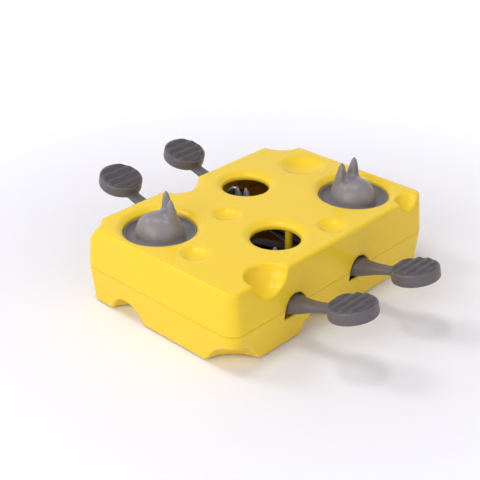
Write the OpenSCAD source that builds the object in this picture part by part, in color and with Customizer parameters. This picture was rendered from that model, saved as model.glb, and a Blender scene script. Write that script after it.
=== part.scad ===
/* [Housing] */
// Length of the block at the seam
body_l = 250; // [245:1:280]
// Width of the block at the seam
body_w = 174; // [170:1:190]
// Height of the top face above the table
body_h = 71.5; // [70:0.5:80]
// Height of the seam between the two shells
seam_z = 34.6; // [34:0.1:36]
// Radius of the four upright corners at the seam
corner_r = 11; // [9:0.5:14]
// How far the top face stands in from the seam
top_inset = 2.8; // [1:0.1:4]
// How far the base stands in from the seam
base_inset = 3; // [1:0.1:4]
// Radius of the edge round the top face
edge_r = 2; // [1:0.1:3]
// Thickness of the side walls
wall = 2.6; // [2:0.1:3.2]
// Thickness of the top face
top_t = 3; // [2.4:0.1:3.6]
// Thickness of the floor
floor_t = 3; // [2.4:0.1:3.4]

/* [Holes in the top] */
// Distance of the cup holes from the middle, as a share of half the length
cup_x_share = 0.652; // [0.64:0.002:0.664]
// Distance of the cup holes from the middle, across the block
cup_y = 38; // [36:0.5:40]
// Radius of the cup holes
cup_hole_r = 31; // [29:0.5:32]
// How far the dished rim runs out round a cup hole
cup_rim_w = 4.5; // [3:0.5:6]
// Distance of the pop-up holes from the middle, as a share of half the length
pop_x_share = 0.216; // [0.2:0.002:0.232]
// Distance of the pop-up holes from the middle, across the block
pop_y = 42; // [40:0.5:44]
// Radius of the pop-up holes
pop_hole_r = 21; // [19.5:0.5:22]
// How far the dished rim runs out round a pop-up hole
pop_rim_w = 5; // [3:0.5:6]
// How far the dished rims fall from the top face to the hole
rim_drop = 3.2; // [2:0.1:4]

/* [Levers] */
// Distance of the pop-up levers from the middle, as a share of half the length
pop_lever_x_share = 0.24; // [0.224:0.002:0.248]
// Distance of the cup levers from the middle, as a share of half the length
cup_lever_x_share = 0.416; // [0.408:0.002:0.448]
// How far the pivot pins stand in from the outside of the side walls
pivot_in = 8; // [7.8:0.1:9]
// How far the pivot pins stand below the seam
pivot_drop = 1.1; // [0.5:0.1:2]
// Radius of a lever's hub
hub_r = 7.5; // [7:0.1:8]
// Width of a lever's hub
hub_w = 20; // [18:0.5:20]
// Radius of a pivot pin
pin_r = 2; // [1.5:0.1:2.4]
// Height of a pop-up lever's inner end above the floor, at rest
arm_end_up = 5.78; // [5.3:0.02:7]
// Width of the inner arm
arm_w = 12; // [10:0.5:13]
// Height of the inner arm at its end
arm_end_h = 7; // [6.4:0.2:7.6]
// Space beside a lever's hub in its slot
slot_side = 2.5; // [1.5:0.1:3]
// Height of a slot's arch above the pivot pin
slot_up = 11; // [10.5:0.1:14]

/* [Paddles] */
// Radius of a paddle
pad_r = 20; // [18:0.5:22]
// Thickness of a paddle
pad_t = 10.5; // [8:0.5:12]
// Reach of a near paddle's middle beyond its pivot
near_out = 62; // [58:0.5:70]
// Height of the near cup paddle's top above its pivot
near_up = 25.5; // [22:0.5:27]
// Height of the near pop-up paddle's top above its pivot
near_pop_up = 22.5; // [22:0.5:27]
// Tilt of a near paddle, in degrees
near_tilt = 14; // [8:0.5:16]
// Reach of a far paddle's middle beyond its pivot
far_out = 67.5; // [60:0.5:72]
// Height of a far paddle's top above its pivot
far_up = 30.5; // [26:0.5:32]
// Tilt of a far paddle, in degrees
far_tilt = 15; // [10:0.5:18]
// Number of wavy ribs on a grip
rib_count = 5; // [3:1:6]

/* [Mice] */
// Radius of a cup mouse's head at its base
head_r = 19.4; // [17:0.1:20]
// Radius of a pop-up mouse's head at its base
pop_head_r = 12.7; // [11:0.1:13.5]
// Height of a pop-up mouse's neck, from its foot to its head
pop_neck_h = 27; // [24:0.5:28]
// Turn of the left cup mouse about its cup, in degrees
left_turn = 143; // [0:1:360]
// Turn of the right cup mouse about its cup, in degrees
right_turn = 270; // [0:1:360]

/* [Cups] */
// Gap between a cup and its hole
play = 0.4; // [0.3:0.05:0.6]
// Depth of a cup's rim below the top face
cup_sink = 3.3; // [2.5:0.1:4]
// Depth of the treat groove in a cup
groove_d = 5.6; // [5:0.1:6]
// Radius of the treat groove's round bottom
groove_r = 7; // [6.5:0.1:7]
// Height of a lifting platform's skirt
skirt_h = 27; // [22:0.5:28]

/* [Fasteners and feet] */
// Radius of a housing screw's shank
screw_r = 1.5; // [1.2:0.1:1.6]
// Radius of a housing screw's head
screw_head_r = 2.9; // [2.6:0.1:3.2]
// Height of a housing screw's head
screw_head_h = 2; // [1.6:0.1:2.4]
// Radius of a screw boss
boss_r = 3.5; // [3.2:0.1:4]
// Radius of a rubber foot
foot_r = 7; // [5:0.5:8]
// How far a rubber foot stands out of the base
foot_h = 1.2; // [0.8:0.1:2]

/* [Hidden] */

// Overrun of a cut past the face that it leaves
over = 1;
// Thickness of the slices that a hull is stretched between
skin = 0.05;
// Radial clearance of a pin in its bore
pin_fit = 0.05;
// Gap between a moving piece and the seat that it rests on or stops against
gap = 0.3;

housing_yellow = "gold";
mouse_grey = [0.56, 0.54, 0.56];
lever_grey = [0.38, 0.36, 0.38];
grip_grey = [0.30, 0.29, 0.30];
rubber_black = [0.12, 0.12, 0.12];
steel = [0.72, 0.72, 0.74];

half_l = body_l / 2;
half_w = body_w / 2;
shell_low_z = foot_h;
floor_z = shell_low_z + floor_t;
ceiling_z = body_h - top_t;
pivot_y = half_w - pivot_in;
pivot_z = seam_z - pivot_drop;
cup_x = cup_x_share * half_l;
pop_x = pop_x_share * half_l;
pop_lever_x = pop_lever_x_share * half_l;
cup_lever_x = cup_lever_x_share * half_l;

// Edge scoops: place as shares of half the length, half the width and the height, then radius as a
// share of half the width
top_scoop_shares = [[-0.64, -0.948, 1.028, 0.225], [0.8, -0.966, 1.02, 0.138],
    [-0.104, 1.034, 1.063, 0.269], [0.984, 0.966, 1.035, 0.277], [-0.968, 1.034, 1.063, 0.195]];
base_scoop_shares = [[-1, 0.437, -0.056, 0.23], [-1.024, -1.046, -0.224, 0.471],
    [-0.184, -1, -0.056, 0.23], [1, -0.437, -0.056, 0.23], [0.184, 1, -0.056, 0.23]];
// Plain dimples: place, then rim radius as a share of half the width, then depth as a share of height
dimple_shares = [[-0.752, -0.184, 0.132, 0.07], [-0.224, 0.149, 0.132, 0.07],
    [0.136, -0.747, 0.132, 0.07], [0.736, 0.356, 0.236, 0.1]];
// Housing screws: place as shares of half the length and half the width
screw_shares = [[0.896, 0.828], [-0.896, 0.828], [0.896, -0.828], [-0.672, -0.713],
    [0, 0.385], [0, -0.385]];
// Rubber feet: place as shares of half the length and half the width
foot_shares = [[0.6, 0.632], [-0.6, 0.632], [0.6, -0.632], [-0.6, -0.632]];

// Slices of a mouse's ear: height, place of the middle, half depth and half width, as shares of the
// radius of the head
ear_slice_shares = [[0.1, -0.45, 0.4, 0.27], [0.41, -0.5, 0.42, 0.273], [0.93, -0.5, 0.35, 0.273],
    [1.34, -0.42, 0.21, 0.258], [1.6, -0.37, 0.124, 0.2]];

lip_t = 1.2;
lip_h = 2.4;
lip_gap = 0.35;
lip_foot = 5;
collar_t = 2.4;
collar_h = 4;
sleeve_t = 2;
screw_depth = 14;
screw_sink = 6;
boss_foot_t = 1.8;
foot_sink = 1;
foot_cup_d = 0.6;

ear_t = 4;
ear_gap = 0.4;
ear_clear = 0.8;
ear_in = hub_w / 2 + slot_side;
ear_r = pivot_in - wall - ear_clear;
thrust_r = ear_r - ear_clear;
slot_w = 2 * ear_in;
slot_low = 8.5;
ring_t = 1;
ring_rim = 1.5;
ring_r = pin_r + ring_rim;
pin_head_h = 1.4;
pin_head_rim = 1.4;
pin_head_r = pin_r + pin_head_rim;
pin_end = 1;

heel_u = 106;
heel_r = 3.5;
rest_pad_r = 5;
rest_pad_h = 2;
pop_u = pivot_y + pop_y;
cup_u = pivot_y + cup_y;
// Fall of the inner arms at rest, in degrees
arm_drop = atan((pivot_z - floor_z - arm_end_up) / pop_u);
pop_len = pop_u / cos(arm_drop);
toe_len = cup_u / cos(arm_drop);
pop_seat_r = 9.5;
pop_foot_r = 0.72 * pop_head_r;
pop_neck_r = 0.64 * pop_head_r;
toe_w = 10;
toe_h = 6;
toe_rim = 2.5;
lift_pad_r = 5;
lift_pad_h = 2.5;
lift_pad_sink = 1;
web_t = 2.4;
rib_t = 2;
flange_t = 2;
pocket_count = 5;
hub_ease = 0.5;

// Outer arm: stations from the hub to the paddle, as shares of the reach, of the rise and of the
// hub's width and height
arm_station_shares = [[0.23, 0.09, 0.86, 0.78], [0.43, 0.27, 0.68, 0.5], [0.6, 0.42, 0.6, 0.37],
    [0.79, 0.54, 0.575, 0.34]];
pad_edge_r = 2.5;
grip_edge = 2.6;
grip_r = pad_r - grip_edge;
grip_t = 1.8;
grip_sink = 1;
rib_h = 0.9;
rib_w = 2.6;
rib_wave = 0.9;
rib_wave_l = 14;
rib_steps = 24;

cup_r = cup_hole_r - play;
cup_t = 2;
cup_edge = 0.9;
cup_floor_z = body_h - cup_sink - groove_d;
cup_rim_z = body_h - cup_sink;
cup_foot_h = 3.3;
cup_base_z = cup_floor_z - cup_t - cup_foot_h;
groove_half = sqrt(pow(groove_r, 2) - pow(groove_r - groove_d, 2));
groove_mid_r = cup_r - cup_edge - groove_half;
groove_mid_z = cup_floor_z + groove_r;
deck_z = groove_mid_z - sqrt(pow(groove_r, 2) - pow(groove_mid_r - head_r, 2));
peg_r = 4;
peg_h = 4.2;
peg_wall = 2.2;
plate_t = 2;
plug_t = 1.6;
plate_z = cup_base_z - gap;
skirt_low_z = plate_z - skirt_h;
skirt_t = 1.8;
catch_w = 1.8;
catch_t = 1.6;
cup_lift = 27.7;
sleeve_low_z = skirt_low_z + catch_t + cup_lift + gap;
stem_r = 5;
gusset_t = 1.6;
gusset_reach = 20;
gusset_h = 14;
head_screw_r = 1.2;
head_screw_head_r = 2.4;
head_screw_head_h = 1.6;
head_screw_l = 8;
head_screw_place = 0.55 * head_r;
mouse_screw_r = 1.4;
mouse_screw_l = 12;

// Height of the middle of the dome at a platform's foot, which rides on the sloping lift pad
pad_face = toe_h / 2 + lift_pad_h - lift_pad_sink;
pad_point_u = toe_len * cos(arm_drop) + pad_face * sin(arm_drop);
pad_point_z = pivot_z - toe_len * sin(arm_drop) + pad_face * cos(arm_drop);
stem_dome_z = pad_point_z + (stem_r + gap + (pad_point_u - cup_u) * sin(arm_drop)) / cos(arm_drop);

// Radius of the sphere whose cap has this rim and this depth
function cap_r(rim, depth) = (pow(rim, 2) + pow(depth, 2)) / (2 * depth);
// Height over the top face of the middle of the sphere that dishes a rim down to its hole
function dish_up(rim, hole, drop) = (pow(rim, 2) - pow(hole, 2) - pow(drop, 2)) / (2 * drop);
// Outline inset of the upper shell at a height, before its top edge is rounded
function draft_in(z) = top_inset * (z - seam_z) / (body_h - seam_z);
// Half height of the inner arm at a distance from the pivot, out of its length
function half_h(u, l) = hub_r * (1 - u / l) + arm_end_h / 2 * u / l;
// Sideways swing of a wavy rib along its length
function wave(u) = rib_wave * sin(360 * u / rib_wave_l);
function place(s) = [s[0] * half_l, s[1] * half_w];
// How far a paddle's rounded rim reaches from the middle of the block
function reach(out, tilt) = pivot_y + out + (pad_r - pad_edge_r) * cos(tilt)
    + (pad_t - pad_edge_r) * sin(tilt) + pad_edge_r;

// The far paddles reach further than the near ones, and the origin is midway between the two
centre_y = (reach(far_out, far_tilt) - reach(near_out, near_tilt)) / 2;

// Everything that comes in twice, half a turn apart about the middle of the block
module both_ways() {
    children();
    rotate([0, 0, 180])
        children();
}

// Four posts that a hull stretches into one slice of the drafted block
module slice(inset, r, z) {
    for (sx = [-1, 1], sy = [-1, 1])
        translate([sx * (half_l - inset - r), sy * (half_w - inset - r), z])
            cylinder(r = r, h = skin, $fn = 32);
}

// Rounded outline of the block at the seam, drawn in by an inset
module outline(inset) {
    r = corner_r - inset;
    for (sx = [-1, 1], sy = [-1, 1])
        translate([sx * (half_l - inset - r), sy * (half_w - inset - r)])
            circle(r = r, $fn = 64);
    square([2 * (half_l - inset), 2 * (half_w - inset - r)], center = true);
    square([2 * (half_l - inset - r), 2 * (half_w - inset)], center = true);
}

module upper_block() {
    hull() {
        slice(0, corner_r, seam_z);
        for (a = [0, 30, 60, 90])
            slice(draft_in(body_h) + edge_r * (1 - cos(a)), corner_r - edge_r,
                body_h - edge_r * (1 - sin(a)) - skin);
    }
}

module upper_room() {
    hull() {
        slice(wall, corner_r - wall, seam_z - over);
        slice(wall + draft_in(ceiling_z), corner_r - wall, ceiling_z - skin);
    }
}

module lower_block() {
    hull() {
        slice(0, corner_r, seam_z - skin);
        slice(base_inset, corner_r - edge_r, shell_low_z + edge_r / 2);
        slice(base_inset + edge_r / 2, corner_r - edge_r, shell_low_z);
    }
}

module lower_room() {
    hull() {
        slice(wall, corner_r - wall, seam_z + over);
        slice(wall + base_inset, corner_r - wall, floor_z);
    }
}

// Round bites over the edges, grown by a wall where the inside follows them
module bites(shares, grow = 0) {
    for (s = shares)
        translate([s[0] * half_l, s[1] * half_w, s[2] * body_h])
            sphere(r = s[3] * half_w + grow, $fn = 64);
}

module dimples(grow = 0) {
    for (s = dimple_shares) {
        r = cap_r(s[2] * half_w, s[3] * body_h);
        translate([s[0] * half_l, s[1] * half_w, body_h - s[3] * body_h + r])
            sphere(r = r + grow, $fn = 64);
    }
}

module dished_hole(x, y, hole, rim_w) {
    rim = hole + rim_w;
    up = dish_up(rim, hole, rim_drop);
    translate([x, y, body_h + up])
        sphere(r = sqrt(pow(rim, 2) + pow(up, 2)), $fn = 96);
    translate([x, y, seam_z])
        cylinder(r = hole, h = body_h, $fn = 96);
}

// Arched slots that the outer arms come out of
module slots() {
    depth = base_inset + wall + 2 * over;
    both_ways()
        for (x = [-cup_lever_x, pop_lever_x])
            translate([x, -half_w - over, pivot_z + slot_up - slot_w / 2])
                rotate([-90, 0, 0]) {
                    cylinder(r = slot_w / 2, h = depth, $fn = 64);
                    translate([-slot_w / 2, 0, 0])
                        cube([slot_w, slot_up - slot_w / 2 + slot_low, depth]);
                }
}

module upper_shell() {
    color(housing_yellow)
        difference() {
            union() {
                difference() {
                    upper_block();
                    difference() {
                        upper_room();
                        bites(top_scoop_shares, wall);
                        dimples(top_t);
                    }
                }
                both_ways() {
                    translate([-cup_x, cup_y, sleeve_low_z])
                        cylinder(r = cup_hole_r + sleeve_t, h = body_h - sleeve_low_z, $fn = 96);
                    translate([-pop_x, -pop_y, body_h - rim_drop - collar_h])
                        cylinder(r = pop_hole_r + collar_t, h = collar_h + rim_drop, $fn = 96);
                }
                for (s = screw_shares)
                    translate(concat(place(s), seam_z))
                        cylinder(r = boss_r, h = ceiling_z - seam_z + skin, $fn = 48);
            }
            bites(top_scoop_shares);
            dimples();
            both_ways() {
                dished_hole(-cup_x, cup_y, cup_hole_r, cup_rim_w);
                dished_hole(-pop_x, -pop_y, pop_hole_r, pop_rim_w);
            }
            slots();
            for (s = screw_shares)
                translate(concat(place(s), seam_z - over))
                    cylinder(r = screw_r + pin_fit, h = screw_depth + 2 * over, $fn = 32);
        }
}

// A pair of ears that hold a pivot pin, with the pin's axis at the origin
module bearing_ears() {
    face = hub_w / 2 + ear_gap;
    for (s = [0, 180])
        rotate([0, 0, s])
            difference() {
                union() {
                    translate([ear_in, 0, 0])
                        rotate([0, 90, 0])
                            cylinder(r = ear_r, h = ear_t, $fn = 48);
                    translate([ear_in, -ear_r, floor_z - pivot_z - skin])
                        cube([ear_t, 2 * ear_r, pivot_z - floor_z + skin]);
                    translate([face, 0, 0])
                        rotate([0, 90, 0])
                            cylinder(r = thrust_r, h = ear_in - face + skin, $fn = 48);
                }
                translate([face - over, 0, 0])
                    rotate([0, 90, 0])
                        cylinder(r = pin_r + pin_fit, h = ear_in + ear_t - face + 2 * over, $fn = 32);
            }
}

module at_pivots() {
    both_ways()
        for (x = [-cup_lever_x, pop_lever_x])
            translate([x, -pivot_y, pivot_z])
                children();
}

// Lip that centres the upper shell on the lower one
module locating_lip() {
    difference() {
        union() {
            translate([0, 0, seam_z - lip_foot])
                linear_extrude(lip_foot)
                    outline(wall / 2 + base_inset * lip_foot / seam_z);
            translate([0, 0, seam_z - skin])
                linear_extrude(lip_h + skin)
                    outline(wall + lip_gap);
        }
        translate([0, 0, seam_z - lip_foot - over])
            linear_extrude(lip_foot + lip_h + 2 * over)
                outline(wall + lip_gap + lip_t);
    }
}

module lower_shell() {
    color(housing_yellow)
        difference() {
            union() {
                difference() {
                    union() {
                        difference() {
                            lower_block();
                            difference() {
                                lower_room();
                                bites(base_scoop_shares, wall);
                            }
                        }
                        locating_lip();
                    }
                    slots();
                }
                for (s = screw_shares)
                    translate(concat(place(s), floor_z - skin)) {
                        cylinder(r = boss_r, h = seam_z - floor_z + skin, $fn = 48);
                        cylinder(r = screw_head_r + play + boss_foot_t,
                            h = shell_low_z + screw_sink + boss_foot_t - floor_z, $fn = 48);
                    }
                at_pivots()
                    bearing_ears();
            }
            bites(base_scoop_shares);
            for (s = screw_shares)
                translate(concat(place(s), shell_low_z - over)) {
                    cylinder(r = screw_r + 2 * pin_fit, h = body_h, $fn = 32);
                    cylinder(r = screw_head_r + play, h = screw_sink + over, $fn = 48);
                }
            for (s = foot_shares)
                translate(concat(place(s), shell_low_z - over))
                    cylinder(r = foot_r + pin_fit, h = foot_sink + over, $fn = 64);
        }
}

// A screw that points up, with its seat at the origin
module screw(r, l, head_r, head_h) {
    cylinder(r = r, h = l, $fn = 32);
    difference() {
        translate([0, 0, -head_h])
            cylinder(r = head_r, h = head_h, $fn = 48);
        translate([0, 0, -head_h])
            for (a = [0, 90])
                rotate([0, 0, a])
                    cube([1.2 * head_r, 0.28 * head_r, head_h], center = true);
    }
}

module housing_screws() {
    color(steel)
        for (s = screw_shares)
            translate(concat(place(s), shell_low_z + screw_sink))
                screw(screw_r, seam_z - shell_low_z - screw_sink + screw_depth, screw_head_r, screw_head_h);
}

module rubber_feet() {
    color(rubber_black)
        for (s = foot_shares)
            translate(concat(place(s), 0))
                difference() {
                    cylinder(r = foot_r, h = foot_h + foot_sink, $fn = 64);
                    translate([0, 0, -over])
                        cylinder(r = foot_r / 3, h = over + foot_cup_d, $fn = 48);
                }
}

module rest_pads() {
    color(rubber_black)
        both_ways()
            for (x = [-cup_lever_x, pop_lever_x])
                translate([x, heel_u - pivot_y, floor_z])
                    cylinder(r = rest_pad_r, h = rest_pad_h, $fn = 48);
}

module pivot_pin() {
    reach = ear_in + ear_t;
    color(steel)
        rotate([0, 90, 0]) {
            translate([0, 0, -reach])
                cylinder(r = pin_r, h = 2 * reach + ring_t + pin_end, $fn = 32);
            translate([0, 0, -reach - pin_head_h])
                cylinder(r = pin_head_r, h = pin_head_h, $fn = 48);
        }
}

module pin_rings() {
    color(steel)
        at_pivots()
            translate([ear_in + ear_t, 0, 0])
                rotate([0, 90, 0])
                    difference() {
                        cylinder(r = ring_r, h = ring_t, $fn = 48);
                        translate([0, 0, -over])
                            cylinder(r = pin_r + pin_fit / 2, h = ring_t + 2 * over, $fn = 32);
                    }
}

// Paddle, with the middle of its top face at the origin
module paddle() {
    difference() {
        translate([0, 0, -pad_t])
            rotate_extrude($fn = 96) {
                square([pad_r - pad_edge_r, pad_t]);
                translate([0, pad_edge_r])
                    square([pad_r, pad_t - 2 * pad_edge_r]);
                for (z = [pad_edge_r, pad_t - pad_edge_r])
                    translate([pad_r - pad_edge_r, z])
                        circle(r = pad_edge_r, $fn = 32);
            }
        translate([0, 0, -grip_sink])
            cylinder(r = grip_r + pin_fit, h = grip_sink + over, $fn = 96);
    }
}

module arm_station(s, out, up) {
    translate([0, -s[0] * out, s[1] * up])
        rotate([90, 0, 0])
            scale([s[2] * hub_w / 2, s[3] * hub_r, 1])
                cylinder(r = 1, h = skin, center = true, $fn = 32);
}

// Outer arm that flares from the paddle to the hub
module outer_arm(out, up) {
    hull() {
        rotate([0, 90, 0])
            cylinder(r = hub_r, h = hub_w - 2 * hub_ease, center = true, $fn = 32);
        arm_station(arm_station_shares[0], out, up);
    }
    for (i = [0, 1, 2])
        hull() {
            arm_station(arm_station_shares[i], out, up);
            arm_station(arm_station_shares[i + 1], out, up);
        }
}

// Tapered inner arm with pockets in both flanks, which leave a web between flanges and ribs
module inner_arm(l) {
    step = (l - 2 * hub_r) / pocket_count;
    difference() {
        rotate([90, 0, 90])
            translate([0, 0, -arm_w / 2])
                linear_extrude(arm_w)
                    polygon([[0, -hub_r], [l, -arm_end_h / 2], [l, arm_end_h / 2], [0, hub_r]]);
        for (i = [0:pocket_count - 1], x = [web_t / 2, -arm_w / 2 - over]) {
            u0 = hub_r + rib_t + i * step;
            u1 = hub_r + (i + 1) * step;
            translate([x, 0, 0])
                rotate([90, 0, 90])
                    linear_extrude(arm_w / 2 - web_t / 2 + over)
                        polygon([[u0, flange_t - half_h(u0, l)], [u1, flange_t - half_h(u1, l)],
                            [u1, half_h(u1, l) - flange_t], [u0, half_h(u0, l) - flange_t]]);
        }
    }
}

// What every lever has, with its pivot at the origin, its paddle at -Y and its inner arm at +Y
module lever_blank(out, up, tilt, l) {
    rotate([0, 90, 0])
        cylinder(r = hub_r, h = hub_w, center = true, $fn = 64);
    outer_arm(out, up);
    translate([0, -out, up])
        rotate([-tilt, 0, 0])
            paddle();
    rotate([-arm_drop, 0, 0])
        inner_arm(l);
    translate([0, heel_u, floor_z + rest_pad_h + gap - pivot_z])
        cylinder(r = heel_r, h = arm_end_h, $fn = 48);
}

module pin_bore() {
    rotate([0, 90, 0])
        cylinder(r = pin_r + pin_fit, h = hub_w + 2 * over, center = true, $fn = 32);
}

// Place of what a pop-up lever carries: the middle of its end, square to the arm
module on_pop_end() {
    rotate([-arm_drop, 0, 0])
        translate([pop_x - pop_lever_x, pop_len, 0])
            children();
}

module pop_lever(out, up, tilt) {
    color(lever_grey)
        difference() {
            union() {
                lever_blank(out, up, tilt, pop_len);
                on_pop_end()
                    translate([0, 0, -arm_end_h / 2])
                        cylinder(r = pop_seat_r, h = arm_end_h, $fn = 64);
            }
            pin_bore();
            on_pop_end()
                translate([0, 0, arm_end_h / 2])
                    cylinder(r = pop_foot_r + gap, h = hub_r, $fn = 64);
            on_pop_end()
                translate([0, 0, -arm_end_h / 2 - over]) {
                    cylinder(r = mouse_screw_r + 2 * pin_fit, h = arm_end_h + 2 * over, $fn = 32);
                    cylinder(r = screw_head_r + gap, h = screw_head_h + 2 * gap + over, $fn = 48);
                }
        }
}

// Place of what a cup lever carries: its toe, beside the end of its arm
module on_toe() {
    rotate([-arm_drop, 0, 0])
        translate([cup_lever_x - cup_x, toe_len, 0])
            children();
}

module cup_lever(out, up, tilt) {
    color(lever_grey)
        difference() {
            union() {
                lever_blank(out, up, tilt, toe_len);
                on_toe()
                    translate([0, 0, -toe_h / 2]) {
                        translate([0, -toe_w / 2, 0])
                            cube([cup_x - cup_lever_x, toe_w, toe_h]);
                        translate([cup_x - cup_lever_x, 0, 0])
                            cylinder(r = arm_w / 2, h = toe_h, $fn = 64);
                        cylinder(r = lift_pad_r + toe_rim, h = toe_h, $fn = 64);
                    }
            }
            pin_bore();
            on_toe()
                translate([0, 0, toe_h / 2 - lift_pad_sink])
                    cylinder(r = lift_pad_r + pin_fit, h = lift_pad_h, $fn = 64);
        }
}

// Wavy grip that lies in a paddle, with the middle of the paddle's top face at the origin
module grip() {
    pitch = 2 * grip_r / (rib_count + 1);
    translate([0, 0, -grip_sink])
        cylinder(r = grip_r, h = grip_t, $fn = 96);
    for (i = [0:rib_count - 1]) {
        v = (i - (rib_count - 1) / 2) * pitch;
        reach = sqrt(pow(grip_r, 2) - pow(abs(v) + rib_w / 2 + rib_wave, 2)) - rib_w / 2;
        points = [for (k = [0:rib_steps]) reach * (2 * k / rib_steps - 1)];
        translate([0, v, grip_t - grip_sink - skin])
            linear_extrude(rib_h + skin)
                polygon(concat([for (u = points) [u, wave(u) - rib_w / 2]],
                    [for (k = [rib_steps:-1:0]) [points[k], wave(points[k]) + rib_w / 2]]));
    }
}

module grip_on(out, up, tilt) {
    color(grip_grey)
        translate([0, -out, up])
            rotate([-tilt, 0, 0])
                grip();
}

// Mouse head on its flat base, facing +X, in shares of the radius of its base
module mouse_head(r) {
    dome_h = 0.97 * r;
    intersection() {
        union() {
            translate([0, 0, dome_h - cap_r(r, dome_h)])
                sphere(r = cap_r(r, dome_h), $fn = 96);
            translate([0.3 * r, 0, 0.36 * r])
                rotate([0, 104, 0]) {
                    cylinder(r1 = 0.46 * r, r2 = 0.22 * r, h = 0.5 * r, $fn = 64);
                    translate([0, 0, 0.5 * r])
                        sphere(r = 0.22 * r, $fn = 64);
                }
        }
        cylinder(r = 2 * r, h = 2 * r, $fn = 48);
    }
    for (s = [-1, 1])
        translate([0, s * 0.4 * r, 0])
            rotate([-2 * s, 0, 0])
                mouse_ear(r);
}

// Upright ear: round at the tip, deep at the root, with a scooped front
module mouse_ear(r) {
    difference() {
        hull() {
            for (s = ear_slice_shares)
                translate([s[1] * r, 0, s[0] * r])
                    scale([s[2] * r, s[3] * r, 1])
                        cylinder(r = 1, h = skin, $fn = 32);
            translate([-0.345 * r, 0, 1.686 * r])
                sphere(r = 0.113 * r, $fn = 24);
        }
        translate([-0.01 * r, 0, 0.7 * r])
            rotate([0, -8, 0])
                cylinder(r = 0.2 * r, h = 0.82 * r, $fn = 48);
    }
}

module pop_mouse() {
    color(mouse_grey)
        on_pop_end()
            translate([0, 0, arm_end_h / 2])
                difference() {
                    union() {
                        cylinder(r1 = pop_foot_r, r2 = pop_neck_r, h = pop_neck_h + skin, $fn = 64);
                        translate([0, 0, pop_neck_h])
                            rotate([0, 0, -90])
                                mouse_head(pop_head_r);
                    }
                    translate([0, 0, -over])
                        cylinder(r = mouse_screw_r + pin_fit, h = mouse_screw_l, $fn = 32);
                }
}

module pop_mouse_screw() {
    color(steel)
        on_pop_end()
            translate([0, 0, screw_head_h + 2 * gap - arm_end_h / 2])
                screw(mouse_screw_r, mouse_screw_l, screw_head_r, screw_head_h);
}

module lift_pad() {
    color(rubber_black)
        on_toe()
            translate([0, 0, toe_h / 2 - lift_pad_sink])
                cylinder(r = lift_pad_r, h = lift_pad_h, $fn = 64);
}

// Skirt pushed onto a platform from below: it slides in the sleeve, and its catch stops the lift
module lift_skirt() {
    color(lever_grey)
        rotate_extrude($fn = 96)
            translate([cup_r - skirt_t, skirt_low_z]) {
                square([skirt_t, skirt_h - plate_t]);
                square([skirt_t + play + catch_w, catch_t]);
            }
}

// Platform that a lever lifts: a plate with a stem, which carries the cup
module lift_platform() {
    socket_z = cup_base_z - peg_h - gap;
    color(lever_grey) {
        rotate_extrude($fn = 96)
            difference() {
                union() {
                    translate([0, plate_z - plate_t])
                        square([cup_r, plate_t]);
                    translate([0, plate_z - plate_t - plug_t])
                        square([cup_r - skirt_t - 2 * pin_fit, plug_t + skin]);
                    translate([0, socket_z - peg_wall])
                        square([peg_r + peg_wall, plate_z - plate_t - socket_z + peg_wall + skin]);
                    translate([0, stem_dome_z])
                        square([stem_r, socket_z - peg_wall - stem_dome_z + skin]);
                    intersection() {
                        translate([0, stem_dome_z])
                            circle(r = stem_r, $fn = 64);
                        translate([0, stem_dome_z - stem_r - over])
                            square(2 * (stem_r + over));
                    }
                }
                translate([-over, socket_z])
                    square([peg_r + pin_fit + over, peg_h + 2 * over]);
            }
        for (a = [45, 135, 225, 315])
            rotate([90, 0, a])
                linear_extrude(gusset_t, center = true)
                    polygon([[stem_r - over, plate_z - plate_t - plug_t + skin],
                        [gusset_reach, plate_z - plate_t - plug_t + skin],
                        [stem_r - skin, plate_z - gusset_h], [stem_r - over, plate_z - gusset_h]]);
    }
}

// Dish with a round treat groove about a deck that the mouse stands on, and a peg that it turns on
module treat_cup() {
    color(mouse_grey)
        difference() {
            rotate_extrude($fn = 128)
                difference() {
                    union() {
                        translate([0, cup_base_z])
                            square([cup_r, cup_rim_z - cup_base_z]);
                        translate([0, cup_base_z - peg_h])
                            square([peg_r, peg_h + skin]);
                    }
                    translate([groove_mid_r, groove_mid_z])
                        circle(r = groove_r, $fn = 96);
                    translate([-over, deck_z])
                        square([head_r + over, body_h - deck_z]);
                    translate([peg_r + peg_wall, cup_base_z - over])
                        square([cup_r - cup_t - peg_r - peg_wall, cup_foot_h + over]);
                }
            for (s = [-1, 1])
                translate([0, s * head_screw_place, cup_base_z])
                    cylinder(r = head_screw_r + 2 * pin_fit, h = body_h - cup_base_z, $fn = 32);
        }
}

module cup_mouse() {
    color(mouse_grey)
        translate([0, 0, deck_z])
            difference() {
                mouse_head(head_r);
                for (s = [-1, 1])
                    translate([0, s * head_screw_place, -over])
                        cylinder(r = head_screw_r + pin_fit, h = head_screw_l, $fn = 32);
            }
}

module cup_mouse_screws() {
    color(steel)
        for (s = [-1, 1])
            translate([0, s * head_screw_place, cup_base_z + cup_foot_h])
                screw(head_screw_r, head_screw_l, head_screw_head_r, head_screw_head_h);
}

// Places of the four levers: the pop-up levers work across to the opposite side, and so do the cup levers
module at_pop_left() rotate([0, 0, 180]) at_pop_right() children();
module at_pop_right() translate([pop_lever_x, -pivot_y, pivot_z]) children();
module at_cup_left() translate([-cup_lever_x, -pivot_y, pivot_z]) children();
module at_cup_right() rotate([0, 0, 180]) at_cup_left() children();
module at_left_hole(turn = 0) translate([-cup_x, cup_y, 0]) rotate([0, 0, turn]) children();
module at_right_hole(turn = 0) translate([cup_x, -cup_y, 0]) rotate([0, 0, turn]) children();

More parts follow.
